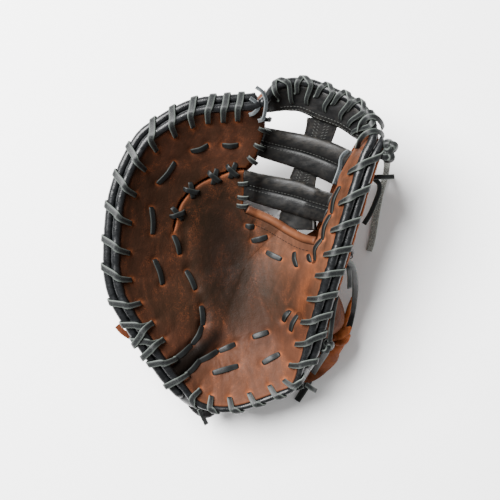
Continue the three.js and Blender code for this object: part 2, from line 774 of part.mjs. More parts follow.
// Web
const crownEdge = arc(CROWN_FROM - 3, CROWN_TO + 2, 3).map((angle) => planPoint(angle, 0.996));
const crownLine = CROWN_LOWER_EDGE.map(placed);
const crownBand = patch(crownEdge, crownLine, 16, 3, () => 0, () => WEB_LEATHER);
const crown = crownBand.intersect(insideWeb).subtract(lacing(CROWN_TURNS, WEB_LEATHER, false, LACE_SLIT));
const barArch = (t, s) => 0.6 - 2 * Math.sin(Math.PI * s) * Math.sin(Math.PI * t);
const barUnder = (t, s) => barArch(t, s) + WEB_LEATHER;
const bars = WEB_BARS.map((bar) => {
  const whole = patch(bar.top.map(placed), bar.bottom.map(placed), 9, 3, barArch, barUnder);
  return whole.intersect(insideWeb);
});
const POST_UNDER = WEB_LEATHER + CLEARANCE + 0.8;
const postSide = (key) => WEB_POST.map((row) => [row[key] * MITT_WIDTH, row.along * MITT_LENGTH]);
const post = patch(
  postSide("left"),
  postSide("right"),
  10,
  2,
  (t) => mix(POST_UNDER, POST_UNDER + 3.5, smooth((t - 0.6) / 0.4)),
  (t) => mix(POST_UNDER, POST_UNDER + 3.5, smooth((t - 0.6) / 0.4)) + WEB_LEATHER,
);
const pocketRollPath = pocketEdge.map(([x, y]) => frontPoint(x, y, 2, false));
const pocketRoll = roll(pocketRollPath, POCKET_ROLL_RADIUS).intersect(insideWeb);

// Knots against the outer rolls, and the free lace ends that leave them
function knot(degrees, drop) {
  const angle = radians(degrees);
  const reach = ROLL_RADIUS + 0.83 * KNOT_RADIUS + CLEARANCE;
  const { second } = seats(angle, PALM_LEATHER);
  const out = second.out + reach * Math.cos(radians(drop));
  const centre = rimPoint(angle, out, second.up - reach * Math.sin(radians(drop)));
  const lobe = (x, y, z, turn) =>
    wasm.Manifold.sphere(KNOT_RADIUS, 7)
      .scale([x, y, z])
      .rotate([0, 0, turn]);
  const lobes = [lobe(0.95, 0.8, 0.75, 20), lobe(0.62, 1, 0.9, -35), lobe(0.9, 0.62, 1, 60)];
  const body = wasm.Manifold.union(lobes);
  return { centre, body: body.translate([centre.x, centre.y, centre.z]) };
}
const webKnot = knot(404.5, 12);
const heelKnot = knot(307, 30);

function cord(points) {
  const path = new THREE.CatmullRomCurve3(points.map((p) => new THREE.Vector3(...p)));
  const shape = new THREE.Shape();
  for (let i = 0; i < 8; i++) {
    const turn = (i / 8) * 2 * Math.PI;
    const at = [(Math.cos(turn) * TAIL_DIAMETER) / 2, (Math.sin(turn) * TAIL_DIAMETER) / 2];
    if (i) shape.lineTo(...at);
    else shape.moveTo(...at);
  }
  shape.closePath();
  const settings = { steps: 2 * points.length, bevelEnabled: false, extrudePath: path };
  return new THREE.ExtrudeGeometry(shape, settings);
}
const WEB_TAIL = [
  [126.1, 84.9, 119.9],
  [130, 84.5, 84],
  [134, 85, 50],
  [137.5, 84.5, 22],
  [138.5, 79, 7.5],
  [137, 70.5, 3.4],
  [133, 56, 3],
  [128.5, 33, 3],
  [124.8, 11, 3],
  [121.5, -1, 3],
];
const HEEL_TAIL = [
  [73.7, -92, 79.3],
  [72.5, -99, 66],
  [69.5, -108, 46],
  [66, -118, 26],
  [62.5, -128, 9],
  [57, -140, 3.2],
  [48, -154, 3],
];
const BACK_TAIL = [
  [87.3, -8.2, 113.6],
  [94.5, -15, 98],
  [99.5, -26, 77],
  [103, -39, 50],
  [104.5, -52, 22],
  [104, -64, 6.5],
  [101.5, -76, 3],
  [98, -87, 3],
];

// Materials
const paint = (color, roughness) => new THREE.MeshStandardMaterial({ color, roughness, metalness: 0 });
const brown = paint(0x5a3220, 0.6);
const tan = paint(0xa35a2c, 0.6);
const black = paint(0x1c1c1e, 0.45);
const lace = paint(0x3c403c, 0.7);

function meshOf(name, body, material) {
  const made = body.getMesh();
  const geometry = new THREE.BufferGeometry();
  geometry.setAttribute("position", new THREE.BufferAttribute(new Float32Array(made.vertProperties), 3));
  geometry.setIndex(new THREE.BufferAttribute(new Uint32Array(made.triVerts), 1));
  geometry.computeVertexNormals();
  const mesh = new THREE.Mesh(geometry, material.clone());
  mesh.name = name;
  return mesh;
}

const mitt = new THREE.Group();
mitt.name = "first_baseman_mitt";
mitt.add(meshOf("palm_panel", palm, brown));
mitt.add(meshOf("finger_back", fingerBack, tan));
mitt.add(meshOf("thumb_back", thumbBack, tan));
mitt.add(meshOf("wrist_strap", wristStrap, tan));
mitt.add(meshOf("front_roll", frontRollBody(), black));
mitt.add(meshOf("finger_back_roll", backRollBody(FINGER_CORNER, FINGER_ROLL_END), black));
mitt.add(meshOf("wrist_binding", backRollBody(FINGER_ROLL_END + 0.6, THUMB_ROLL_START - 0.6), black));
mitt.add(meshOf("thumb_back_roll", backRollBody(THUMB_ROLL_START, THUMB_CORNER), black));
mitt.add(meshOf("pocket_edge_roll", pocketRoll, tan));
mitt.add(meshOf("web_crown", crown, black));
mitt.add(meshOf("web_crown_roll", crownRollBody(), black));
WEB_BARS.forEach((bar, i) => mitt.add(meshOf(bar.name, bars[i], black)));
mitt.add(meshOf("web_post", post, black));
mitt.add(meshOf("finger_rim_lace", fingerLace, lace));
mitt.add(meshOf("heel_lace", heelLace, lace));
mitt.add(meshOf("thumb_rim_lace", thumbLace, lace));
mitt.add(meshOf("crown_lace", crownLace, lace));

mitt.add(meshOf("web_knot", webKnot.body, lace));
mitt.add(meshOf("heel_knot", heelKnot.body, lace));

// The origin is the middle of the mitt's own box on the floor; the cords lie outside it and move along
const box = new THREE.Box3().setFromObject(mitt);
const middle = box.getCenter(new THREE.Vector3());
const cords = [
  ["web_lace_tail", WEB_TAIL],
  ["heel_lace_tail", HEEL_TAIL],
  ["back_lace_tail", BACK_TAIL],
];
for (const [name, points] of cords) {
  const mesh = new THREE.Mesh(cord(points), lace.clone());
  mesh.name = name;
  mitt.add(mesh);
}
for (const mesh of mitt.children) mesh.position.set(-middle.x, -middle.y, -box.min.z);

export default mitt;
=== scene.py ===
# %% [markdown]
# A first baseman mitt lies on its back with the pocket up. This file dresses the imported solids,
# one piece of leather, lace or thread at a time. Lengths are in millimetres as a glove maker
# writes them, and one function turns them into the metres of the frame.
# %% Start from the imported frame
import math

import bpy
import numpy as np
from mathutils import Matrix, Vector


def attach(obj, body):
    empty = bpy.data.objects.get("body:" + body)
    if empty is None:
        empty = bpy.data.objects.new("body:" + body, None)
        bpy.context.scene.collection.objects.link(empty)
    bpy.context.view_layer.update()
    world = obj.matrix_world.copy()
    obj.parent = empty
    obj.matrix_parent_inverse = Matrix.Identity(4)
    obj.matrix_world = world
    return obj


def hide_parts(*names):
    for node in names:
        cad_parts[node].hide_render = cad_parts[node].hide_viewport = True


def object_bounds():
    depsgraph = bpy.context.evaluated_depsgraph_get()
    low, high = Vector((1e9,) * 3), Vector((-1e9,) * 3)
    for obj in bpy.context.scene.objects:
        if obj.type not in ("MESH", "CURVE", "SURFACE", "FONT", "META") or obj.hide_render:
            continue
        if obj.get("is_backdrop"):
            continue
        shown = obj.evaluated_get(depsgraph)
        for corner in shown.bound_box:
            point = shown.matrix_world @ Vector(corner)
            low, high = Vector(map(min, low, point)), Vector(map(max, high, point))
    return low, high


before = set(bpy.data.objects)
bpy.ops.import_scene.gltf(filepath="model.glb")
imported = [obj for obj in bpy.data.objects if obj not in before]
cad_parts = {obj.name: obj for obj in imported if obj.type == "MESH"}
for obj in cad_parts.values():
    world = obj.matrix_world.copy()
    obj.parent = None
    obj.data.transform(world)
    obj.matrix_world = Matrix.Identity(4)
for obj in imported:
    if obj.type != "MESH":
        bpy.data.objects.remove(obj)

cad_box = [list(corner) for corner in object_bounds()]
print("packed box", [[round(value, 4) for value in corner] for corner in cad_box])

# %% [markdown]
# The drawing has its zero at the middle of the picture, and the frame has it at the middle of the
# mitt. Everything is drawn in the first and shifted once, so that no number has to be worked out
# twice.
# %% From drawing to frame
SHIFT = np.array([4.3975, -1.212, 0.0])


def to_frame(points):
    return (np.asarray(points, float) + SHIFT) / 1000


# %% [markdown]
# The photograph looks straight down on the pocket. A camera needs its height and its lens, and
# these two come from the mitt's width: 500 picture points across cover about half a metre of
# floor.
# %% Camera
CAMERA_HEIGHT = 1100.0
MM_PER_POINT = 1.0245
PICTURE_POINTS = 500
SENSOR = 36
camera_data = bpy.data.cameras.new("camera")
camera_data.sensor_width = SENSOR
camera_data.lens = SENSOR * CAMERA_HEIGHT / (PICTURE_POINTS * MM_PER_POINT)
camera = bpy.data.objects.new("camera", camera_data)
camera.location = to_frame([0, 0, CAMERA_HEIGHT])
bpy.context.scene.collection.objects.link(camera)
bpy.context.scene.camera = camera
print("lens", round(camera_data.lens, 1))

# %% [markdown]
# Meshes are built as arrays. A body keeps points in millimetres, faces, and marks: numbers at the
# points that a finish can read later, such as how near a point is to a cut edge.
# %% Bodies and pieces
class Body:
    def __init__(self, points, faces, **marks):
        self.points = np.asarray(points, float)
        self.faces = list(faces)
        self.marks = marks


def joined(bodies):
    points, faces, start = [], [], 0
    names = sorted({name for body in bodies for name in body.marks})
    marks = {name: [] for name in names}
    for body in bodies:
        points.append(body.points)
        faces += [tuple(i + start for i in face) for face in body.faces]
        for name in names:
            marks[name].append(body.marks.get(name, np.zeros(len(body.points))))
        start += len(body.points)
    return Body(np.vstack(points), faces, **{name: np.concatenate(marks[name]) for name in names})


def placed(name, points, faces):
    mesh = bpy.data.meshes.new(name)
    mesh.from_pydata(np.asarray(points, float).tolist(), [], faces)
    made = bpy.data.objects.new(name, mesh)
    bpy.context.scene.collection.objects.link(made)
    return made


def piece(name, body, finish, stands_for=()):
    made = placed(name, to_frame(body.points), body.faces)
    mesh = made.data
    for mark, values in body.marks.items():
        layer = mesh.attributes.new(mark, "FLOAT", "POINT")
        layer.data.foreach_set("value", np.asarray(values, np.float32))
    mesh.polygons.foreach_set("use_smooth", [True] * len(mesh.polygons))
    mesh.validate()
    mesh.materials.append(finish)
    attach(made, "root")
    if stands_for:
        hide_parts(*stands_for)
    print(name, len(body.points), "points", len(body.faces), "faces")
    return made


# %% [markdown]
# A lace, a roll and a stitch are all one outline carried along a line. The sweep turns the
# outline so that its top looks the way the line's own facing says, which keeps a flat lace from
# rolling over.
# %% Sweeps
def unit(vectors):
    size = np.linalg.norm(vectors, axis=-1, keepdims=True)
    return vectors / np.maximum(size, 1e-9)


def curve(a, b, c, d, steps):
    """Points from each b towards its c, bent by the neighbours a and d; all columns are carried."""
    t = (np.arange(steps) / steps)[None, :, None]
    a, b, c, d = (rows[:, None, :] for rows in (a, b, c, d))
    square, cube = 2 * a - 5 * b + 4 * c - d, 3 * b - 3 * c + d - a
    fine = 0.5 * (2 * b + (c - a) * t + square * t**2 + cube * t**3)
    return fine.reshape(-1, fine.shape[-1])


def smooth_line(rows, steps):
    """An open curve through rows, with steps points in each gap."""
    rows = np.asarray(rows, float)
    wide = np.vstack([2 * rows[0] - rows[1], rows, 2 * rows[-1] - rows[-2]])
    return np.vstack([curve(*(wide[k : len(wide) - 3 + k] for k in range(4)), steps), rows[-1:]])


def closed_line(rows, steps):
    return curve(*(np.roll(rows, k, axis=0) for k in (1, 0, -1, -2)), steps)


def at_places(line, at, reach=None):
    """The line's points at places counted in rows, or in the numbers of reach."""
    reach = np.arange(len(line)) if reach is None else reach
    return np.stack([np.interp(at, reach, column) for column in line.T], 1)


def round_outline(sides):
    turn = np.arange(sides) / sides * 2 * math.pi
    return np.stack([np.cos(turn), np.sin(turn)], 1)


UP = np.array([0.0, 0.0, 1.0])
QUARTER = np.array([(1.0, 0.3), (0.94, 0.7), (0.78, 0.9), (0.4, 1.0)])
HALF = np.vstack([QUARTER, QUARTER[::-1] * (-1, 1)])
FLAT_OUTLINE = np.vstack([HALF, -HALF])


def sweep(line, facing, outline, width, thickness):
    line = np.asarray(line, float)
    count, sides = len(line), len(outline)
    width, thickness = np.broadcast_to(width, count), np.broadcast_to(thickness, count)
    along = unit(np.gradient(line, axis=0))
    side = unit(np.cross(along, np.broadcast_to(facing, line.shape)))
    top = np.cross(side, along)
    across = side[:, None, :] * (outline[None, :, :1] * width[:, None, None] / 2)
    upward = top[:, None, :] * (outline[None, :, 1:] * thickness[:, None, None] / 2)
    points = (line[:, None, :] + across + upward).reshape(-1, 3)
    last = (count - 1) * sides
    faces = []
    for low in range(0, last, sides):
        for i in range(sides):
            j = (i + 1) % sides
            faces.append((low + i, low + j, low + sides + j, low + sides + i))
    faces += [tuple(range(sides))[::-1], tuple(range(last, last + sides))]
    edge = np.clip((np.abs(outline[:, 0]) - 0.7) / 0.3, 0, 1)
    return Body(points, faces, edge=np.tile(edge, count))


# %% [markdown]
# Finishes are node trees. Writing shader sums as ordinary Python sums keeps them readable: a
# socket is wrapped in a small class, and each sign adds the Math node that does it.
# %% Shader sums
class Value:
    def __init__(self, finish, socket):
        self.finish = finish
        self.socket = socket

    def _math(self, operation, *values):
        return self.finish.node("ShaderNodeMath", {"operation": operation}, dict(enumerate(values)))

    def __add__(self, other):
        return self._math("ADD", self, other)

    def __sub__(self, other):
        return self._math("SUBTRACT", self, other)

    def __rsub__(self, other):
        return self._math("SUBTRACT", other, self)

    def __mul__(self, other):
        return self._math("MULTIPLY", self, other)

    def absolute(self):
        return self._math("ABSOLUTE", self)

    def clipped(self):
        return self.finish.node("ShaderNodeClamp", {}, {"Value": self})

    def above(self, low, high):
        """0 below low, 1 above high, smooth between."""
        settings = {"interpolation_type": "SMOOTHSTEP"}
        return self.finish.node("ShaderNodeMapRange", settings, {0: self, 1: low, 2: high})

    __radd__ = __add__
    __rmul__ = __mul__


def colour(code):
    """A colour written as in a paint chart, changed to the linear numbers that Blender uses."""
    parts = [int(code[i : i + 2], 16) / 255 for i in (0, 2, 4)]
    linear = [c / 12.92 if c <= 0.04045 else ((c + 0.055) / 1.055) ** 2.4 for c in parts]
    return (*linear, 1.0)


# %% [markdown]
# One class holds a material. Its node method makes any node from a type, its settings and its
# inputs. Numbers that stay the same all over a surface are set on the shader itself, because an
# exported model keeps those and would lose them behind other nodes.
# %% Finishes
class Finish:
    def __init__(self, name, **fixed):
        self.material = bpy.data.materials.new(name)
        self.material.use_nodes = True
        self.tree = self.material.node_tree
        self.shader = self.tree.nodes["Principled BSDF"]
        for socket, value in fixed.items():
            self.shader.inputs[socket.replace("_", " ")].default_value = value
        self.place = self.node("ShaderNodeTexCoord", {}, {}, "Object")

    def node(self, kind, settings, inputs, output=0):
        made = self.tree.nodes.new(kind)
        for name, value in settings.items():
            setattr(made, name, value)
        for key, value in inputs.items():
            self.feed(made.inputs[key], value)
        return Value(self, made.outputs[output])

    def feed(self, socket, value):
        if isinstance(value, Value):
            self.tree.links.new(value.socket, socket)
        else:
            socket.default_value = colour(value) if isinstance(value, str) else value

    def mark(self, name):
        return self.node("ShaderNodeAttribute", {"attribute_name": name}, {}, "Fac")

    def noise(self, size, detail=4, roughness=0.55, distortion=0.0, stretch=None):
        """Cloudy pattern with features of about size millimetres."""
        place = self.place if stretch is None else self.stretched(stretch)
        inputs = {"Vector": place, "Scale": 1000 / size, "Detail": detail}
        inputs.update({"Roughness": roughness, "Distortion": distortion})
        return self.node("ShaderNodeTexNoise", {}, inputs)

    def cells(self, size):
        inputs = {"Vector": self.place, "Scale": 1000 / size}
        return self.node("ShaderNodeTexVoronoi", {"feature": "SMOOTH_F1"}, inputs)

    def stretched(self, scale):
        inputs = {0: self.place, 1: scale}
        return self.node("ShaderNodeVectorMath", {"operation": "MULTIPLY"}, inputs)

    def mix(self, factor, a, b):
        return self.node("ShaderNodeMix", {"data_type": "RGBA"}, {0: factor, 6: a, 7: b}, 2)

    def bump(self, height, depth, strength=1.0, under=None):
        """Relief whose full height is depth millimetres."""
        inputs = {"Height": height, "Distance": depth / 1000, "Strength": strength}
        if under is not None:
            inputs["Normal"] = under
        return self.node("ShaderNodeBump", {}, inputs)

    def set(self, **sockets):
        for name, value in sockets.items():
            self.feed(self.shader.inputs[name.replace("_", " ")], value)
        return self.material


# %% [markdown]
# Oiled steerhide shows dark brown pull-up with a fine pebble grain, and it turns rust orange
# where it is bent, pierced or cut. The bend and the cut come from the marks hole and edge, the
# rest from noise. Two more marks paint light: one lightens the leather into a painted sheen, and
# the mark shade darkens it, partly as painted shade and partly as darker tone.
# %% Brown leather
def pull_up_leather(name, deep, warm, bright, halo, shine):
    made = Finish(name, IOR=1.45, Specular_IOR_Level=shine)
    cloud = made.noise(60, 5, 0.62)
    streak = made.noise(16, 6, 0.68, 0.8, (1.0, 0.4, 1.0))
    fine = made.noise(2.4, 6, 0.72)
    warmth = (made.mark("warm") + (cloud - 0.5) * 1.2 + (streak - 0.5) * 1.1).clipped()
    base = made.mix(warmth, deep, warm)
    base = made.mix(fine.above(0.48, 0.8) * 0.25, base, warm)
    # Painted sheen: lighter pinkish brown where the lamp's sheen and light fall.
    base = made.mix((made.mark("pale") * (cloud + streak * 1.6 - 0.6)).clipped(), base, "62402f")
    for size, wander, reach in ((11, 1.6, 0.012), (26, 2.4, 0.006)):
        vein = made.noise(size, 8, 0.7, wander) - 0.5
        scratch = 1 - vein.absolute().above(0.0, reach)
        base = made.mix(scratch * streak.above(0.45, 0.65) * 0.25, base, bright)
    pulled = made.mark("hole") * 0.9 + made.mark("edge") * 0.45 + made.mark("bend") * 0.5
    pulled = (pulled * (streak * 1.5 + fine * 0.6 - 0.1) * halo).clipped()
    base = made.mix(pulled, base, bright)
    dirty = made.noise(30, 6, 0.65).above(0.5, 0.72) * 0.45
    base = made.mix(dirty, base, deep)
    # The mark shade: painted shade, with some darker tone, towards near black.
    base = made.mix(made.mark("shade"), base, "0b0705")
    grain = made.cells(1.1)
    relief = made.bump(grain * 0.6 + made.noise(0.8, 3, 0.6) * 0.5, 0.2, 0.8)
    relief = made.bump(made.noise(5, 6, 0.65, 0.8), 0.7, 0.6, relief)
    rough = 0.54 + (fine - 0.5) * 0.4 + (cloud - 0.5) * 0.3 + pulled * 0.1
    return made.set(Base_Color=base, Roughness=rough.clipped(), Normal=relief)


brown_leather = pull_up_leather("brown_leather", "1d140d", "3a2218", "9c5530", 0.7, 0.06)
tan_leather = pull_up_leather("tan_leather", "34190e", "63361f", "9c6038", 0.6, 0.03)
# A brighter copy of the tan leather: painted light for the thumb's back edge and its heel fold.
painted_lit_leather = pull_up_leather("painted_lit_leather", "43200f", "80421f", "b0703f", 0.6, 0.05)
edge_leather = pull_up_leather("edge_leather", "2e1a12", "56331f", "7c4a2e", 0.6, 0.12)
print("leathers", brown_leather.name, tan_leather.name)

# %% [markdown]
# The web and the rolls are black leather. Black hides colour, so its character is in the gloss:
# soft scuffs that turn grey brown on every raised fold, and a finer grain than the palm.
# %% Black leather
def black_hide(name, dark, scuff, gloss, grain_size, scuffing, shine):
    made = Finish(name, IOR=1.5, Specular_IOR_Level=shine)
    cloud = made.noise(40, 5, 0.6)
    rub = made.noise(7, 7, 0.7, 0.5, (1.0, 1.8, 1.0))
    worn = made.mark("edge") * 0.9 + made.mark("bend") * 0.7 + 0.12
    worn = worn * rub.above(0.38, 0.66) * scuffing
    base = made.mix(cloud * 0.7, dark, "0e0f10")
    base = made.mix(worn.clipped(), base, scuff)
    grain = made.cells(grain_size)
    relief = made.bump(grain + made.noise(0.7, 3) * 0.5, 0.12, 0.6)
    relief = made.bump(made.noise(6, 5, 0.6, 1.0), 0.5, 0.45, relief)
    rough = gloss + (rub - 0.5) * 0.35 + worn * 0.15
    return made.set(Base_Color=base, Roughness=rough.clipped(), Normal=relief)


web_leather = black_hide("black_web_leather", "060606", "26221d", 0.46, 0.8, 0.6, 0.17)
roll_leather = black_hide("black_roll_leather", "060708", "1e1f21", 0.31, 0.7, 0.4, 0.24)
print("black hides", web_leather.name, roll_leather.name)

# %% [markdown]
# Rawhide lace is dyed through only at its face, so its cut edges show a pale grey green and its
# back is rough and speckled. The mark edge is one along both cut edges of every strap.
# %% Lace and thread
def lace_hide(name, face, cut, speck, rough_side):
    made = Finish(name, IOR=1.47, Specular_IOR_Level=0.22)
    cloud = made.noise(12, 5, 0.6)
    speckle = made.noise(0.9, 4, 0.7)
    base = made.mix(cloud * 0.6, face, "151718")
    base = made.mix(speckle.above(0.5, 0.62) * rough_side, base, speck)
    cut_edge = (made.mark("edge") * (0.35 + cloud * 0.9)).clipped()
    base = made.mix(cut_edge, base, cut)
    relief = made.bump(speckle, 0.14 + 0.2 * rough_side, 0.6)
    rough = 0.42 + (cloud - 0.5) * 0.3 + cut_edge * 0.25 + 0.25 * rough_side
    return made.set(Base_Color=base, Roughness=rough.clipped(), Normal=relief)


lace_leather = lace_hide("lace_leather", "0a0b0c", "585e59", "5c605b", 0.12)
dark_lace = lace_hide("dark_lace", "050606", "262927", "343734", 0.06)
pale_lace = lace_hide("pale_lace", "25282a", "6a6f70", "6c7172", 0.2)
rough_lace = lace_hide("rough_lace", "7b7d78", "a9aba4", "e0e2da", 0.95)


def thread(name, shade):
    made = Finish(name, Roughness=0.7, Specular_IOR_Level=0.1)
    twist = made.noise(0.5, 2)
    return made.set(Base_Color=made.mix(twist, shade, "101010"), Normal=made.bump(twist, 0.1))


grey_thread = thread("grey_thread", "454643")
dark_thread = thread("dark_thread", "100b08")
print("laces and threads done")

# %% [markdown]
# The floor is a plain pale sheet, and it belongs to the stage, not to the mitt.
# %% Floor
REACH = 4.0
corners = [(-REACH, -REACH, 0), (REACH, -REACH, 0), (REACH, REACH, 0), (-REACH, REACH, 0)]
floor = placed("floor", corners, [(0, 1, 2, 3)])
floor_finish = Finish("floor_paper", Roughness=0.7, Specular_IOR_Level=0.2)
paper = floor_finish.noise(400, 2)
sheet = floor_finish.mix(paper * 0.1, "fafafa", "f4f4f4")
floor.data.materials.append(floor_finish.set(Base_Color=sheet))
floor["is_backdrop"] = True
print("floor", 2 * REACH, "m square")

# %% [markdown]
# The photograph has one large soft lamp beyond the upper left corner and white all round. The
# lamp gives the long streaks on the rolls and the shadow at the lower right; the white world
# fills the shadows.
# %% Light
LAMP_PLACE, LAMP_AIM = (-1.05, 0.85, 1.9), (0, 0, 0.03)
lamp_data = bpy.data.lights.new("key_lamp", "AREA")
lamp_data.shape = "DISK"
lamp_data.size = 1.5
lamp_data.energy = 360
lamp = bpy.data.objects.new("key_lamp", lamp_data)
lamp.location = LAMP_PLACE
ahead = np.subtract(LAMP_AIM, LAMP_PLACE)
tip = math.atan2(math.hypot(ahead[0], ahead[1]), -ahead[2])
lamp.rotation_euler = [tip, 0, math.atan2(ahead[0], -ahead[1]) + math.pi]
bpy.context.scene.collection.objects.link(lamp)
world = bpy.data.worlds.new("studio")
bpy.context.scene.world = world
world.use_nodes = True
backdrop = world.node_tree.nodes["Background"]
backdrop.inputs["Color"].default_value = (1, 1, 1, 1)
backdrop.inputs["Strength"].default_value = 0.5
print("lamp tipped by", round(math.degrees(tip), 1), "degrees")

# %% [markdown]
# Three lace ends hang free. Each keeps the route of its solid, because a route that floated off
# would no longer be the thing that was measured. It is flat like the lace it is cut from.
# %% Free lace ends
TAIL_WIDTH, TAIL_THICK = 6.6, 3.0
TAILS = {
    "web_lace_end": ("web_lace_tail", [
        (126.1, 84.9, 119.9), (130, 84.5, 84), (134, 85, 50), (137.5, 84.5, 22), (138.5, 79, 7.5),
        (137, 70.5, 3.4), (133, 56, 3), (128.5, 33, 3), (124.8, 11, 3), (121.5, -1, 3),
    ]),
    "heel_lace_end": ("heel_lace_tail", [
        (73.7, -92, 79.3), (72.5, -99, 66), (69.5, -108, 46), (66, -118, 26), (62.5, -128, 9),
        (57, -140, 3.2), (48, -154, 3),
    ]),
    "back_lace_end": ("back_lace_tail", [
        (87.3, -8.2, 113.6), (94.5, -15, 98), (99.5, -26, 77), (103, -39, 50), (104.5, -52, 22),
        (104, -64, 6.5), (101.5, -76, 3), (98, -87, 3),
    ]),
}


for name, (solid, route) in TAILS.items():
    line = smooth_line(route, 8)
    steep = np.abs(unit(np.gradient(line, axis=0))[:, 2:])
    travel = (line[-1] - line[0]) * (1, 1, 0)
    facing = unit(UP * (1 - steep) + unit(travel) * steep)
    sway = 0.96 + 0.06 * np.sin(np.linspace(0, 9, len(line)))
    finish = rough_lace if name == "web_lace_end" else lace_leather
    body = sweep(line, facing, FLAT_OUTLINE, TAIL_WIDTH * sway, TAIL_THICK)
    made = piece(name, body, finish, [solid])
    path = to_frame(line)
    length = float(np.linalg.norm(np.diff(path, axis=0), axis=1).sum())
    print(name, "is", round(length, 3), "m long")

# %% [markdown]
# The front of the mitt is one bowl. Seen from its lowest point, every direction meets the rim at
# some distance and height, and the wall between climbs as a power of the way out. One table of
# the rim is enough to place every piece, as it was for the solids.
# %% The bowl
WIDTH, LENGTH, RIM_HEIGHT = 280.0, 330.0, 130.0
TURN = 2 * math.pi
# across, along, up and the wall's power, as shares of width, length and rim height
RIM = np.array([
    (0.037, 0.393, 0.862, 1.7), (-0.069, 0.381, 0.892, 1.8), (-0.176, 0.369, 0.908, 1.9),
    (-0.277, 0.323, 0.915, 2), (-0.342, 0.271, 0.908, 2), (-0.407, 0.142, 0.877, 2),
    (-0.426, -0.027, 0.831, 1.9), (-0.413, -0.114, 0.8, 1.9), (-0.375, -0.181, 0.762, 1.8),
    (-0.292, -0.295, 0.669, 1.7), (-0.213, -0.393, 0.562, 1.5), (-0.161, -0.441, 0.515, 1.5),
    (-0.05, -0.451, 0.492, 1.5), (0.103, -0.407, 0.508, 1.5), (0.143, -0.385, 0.538, 1.6),
    (0.163, -0.328, 0.615, 1.8), (0.182, -0.268, 0.692, 2), (0.201, -0.201, 0.769, 2.2),
    (0.235, -0.09, 0.862, 2.4), (0.259, -0.022, 0.908, 2.5), (0.316, 0.148, 0.977, 2.4),
    (0.354, 0.251, 0.992, 2.2), (0.384, 0.316, 0.977, 1.9), (0.351, 0.382, 0.923, 1.7),
    (0.243, 0.436, 0.838, 1.6), (0.171, 0.455, 0.815, 1.6), (0.097, 0.445, 0.823, 1.6),
])
CENTRE = np.array([-0.014 * WIDTH, -0.036 * LENGTH, 0.338 * RIM_HEIGHT])


rim_line = closed_line(RIM * (WIDTH, LENGTH, RIM_HEIGHT, 1), 30)
rim_across, rim_along = (rim_line[:, :2] - CENTRE[:2]).T
rim_angle = np.arctan2(rim_along, rim_across) % TURN
rim_reach = np.hypot(rim_along, rim_across)


def rim_at(angle):
    columns = (rim_reach, rim_line[:, 2], rim_line[:, 3])
    return [np.interp(angle, rim_angle, column, period=TURN) for column in columns]


def share_at(x, y):
    reach, up, steep = rim_at(np.arctan2(y - CENTRE[1], x - CENTRE[0]))
    return np.hypot(x - CENTRE[0], y - CENTRE[1]) / reach, up, steep


def front_height(x, y):
    share, up, steep = share_at(x, y)
    return CENTRE[2] + (up - CENTRE[2]) * share**steep


def front_normal(x, y):
    d = 1.5
    slope_x = front_height(x + d, y) - front_height(x - d, y)
    slope_y = front_height(x, y + d) - front_height(x, y - d)
    return unit(np.stack([-slope_x, -slope_y, np.full_like(slope_x, 2 * d)], -1))


def front_point(x, y, below=0.0):
    x, y = np.asarray(x, float), np.asarray(y, float)
    below = np.broadcast_to(below, x.shape)
    return np.stack([x, y, front_height(x, y)], -1) - front_normal(x, y) * below[..., None]


def plan_point(angle, share):
    reach = rim_at(angle)[0] * share
    return CENTRE[0] + np.cos(angle) * reach, CENTRE[1] + np.sin(angle) * reach


def rim_point(angle, out, up):
    ax, ay = plan_point(angle - 0.02, 1)
    bx, by = plan_point(angle + 0.02, 1)
    x, y = plan_point(angle, 1)
    along = unit(np.stack([bx - ax, by - ay], -1))
    return np.stack([x + along[..., 1] * out, y - along[..., 0] * out, rim_at(angle)[1] + up], -1)


print("rim from", rim_line[:, 2].min().round(1), "to", rim_line[:, 2].max().round(1), "mm high")

# %% [markdown]
# Two rolled bindings lie side by side against the edge of the front leather. Their seats follow
# the leather's slope at the edge, so that a roll touches what it finishes whatever way the wall
# leans.
# %% Seats of the rolls
ROLL, HEEL_ROLL, WRIST_ROLL = 4.3, 3.3, 2.8
GAP = 0.4
PALM_THICK, WEB_THICK = 3.2, 4.0
TILT = math.radians(25)


def ease(t):
    t = np.clip(t, 0, 1)
    return t * t * (3 - 2 * t)


def mixed(a, b, t):
    return a + (b - a) * t


def falloff(distance, width):
    """1 at no distance, and next to nothing two widths away."""
    return np.exp(-((distance / width) ** 2))


def span(angle, start, end, soft):
    """1 between two directions in degrees, 0 outside, and soft degrees of slope at both ends."""
    degrees = np.degrees(angle) % 360
    return ease((degrees - start) / soft) * ease((end - degrees) / soft)


def front_radius(angle):
    return mixed(ROLL, HEEL_ROLL, span(angle, 236, 306, 12))


def seats(angle, leather):
    inner = rim_point(angle, -2, 0)
    slope = np.arctan2(rim_at(angle)[1] - front_height(inner[..., 0], inner[..., 1]), 2)
    reach = front_radius(angle) + 1.6 * GAP
    out = leather / 2 * np.sin(slope) + reach * np.cos(slope)
    up = reach * np.sin(slope) - leather / 2 * np.cos(slope)
    step = front_radius(angle) + ROLL + GAP
    return (out, up), (out + step * math.cos(TILT), up - step * math.sin(TILT)), np.degrees(slope)


def front_roll_line(angle, leather=PALM_THICK):
    return rim_point(angle, *seats(angle, leather)[0])


def mouth_at(angle):
    return span(angle, 244, 300, 17)


def back_roll_line(angle):
    low = rim_point(angle, 8, 0)
    low[..., 2] = WRIST_ROLL
    return mixed(rim_point(angle, *seats(angle, PALM_THICK)[1]), low, mouth_at(angle)[..., None])


def back_radius(angle):
    return mixed(ROLL, WRIST_ROLL, mouth_at(angle))


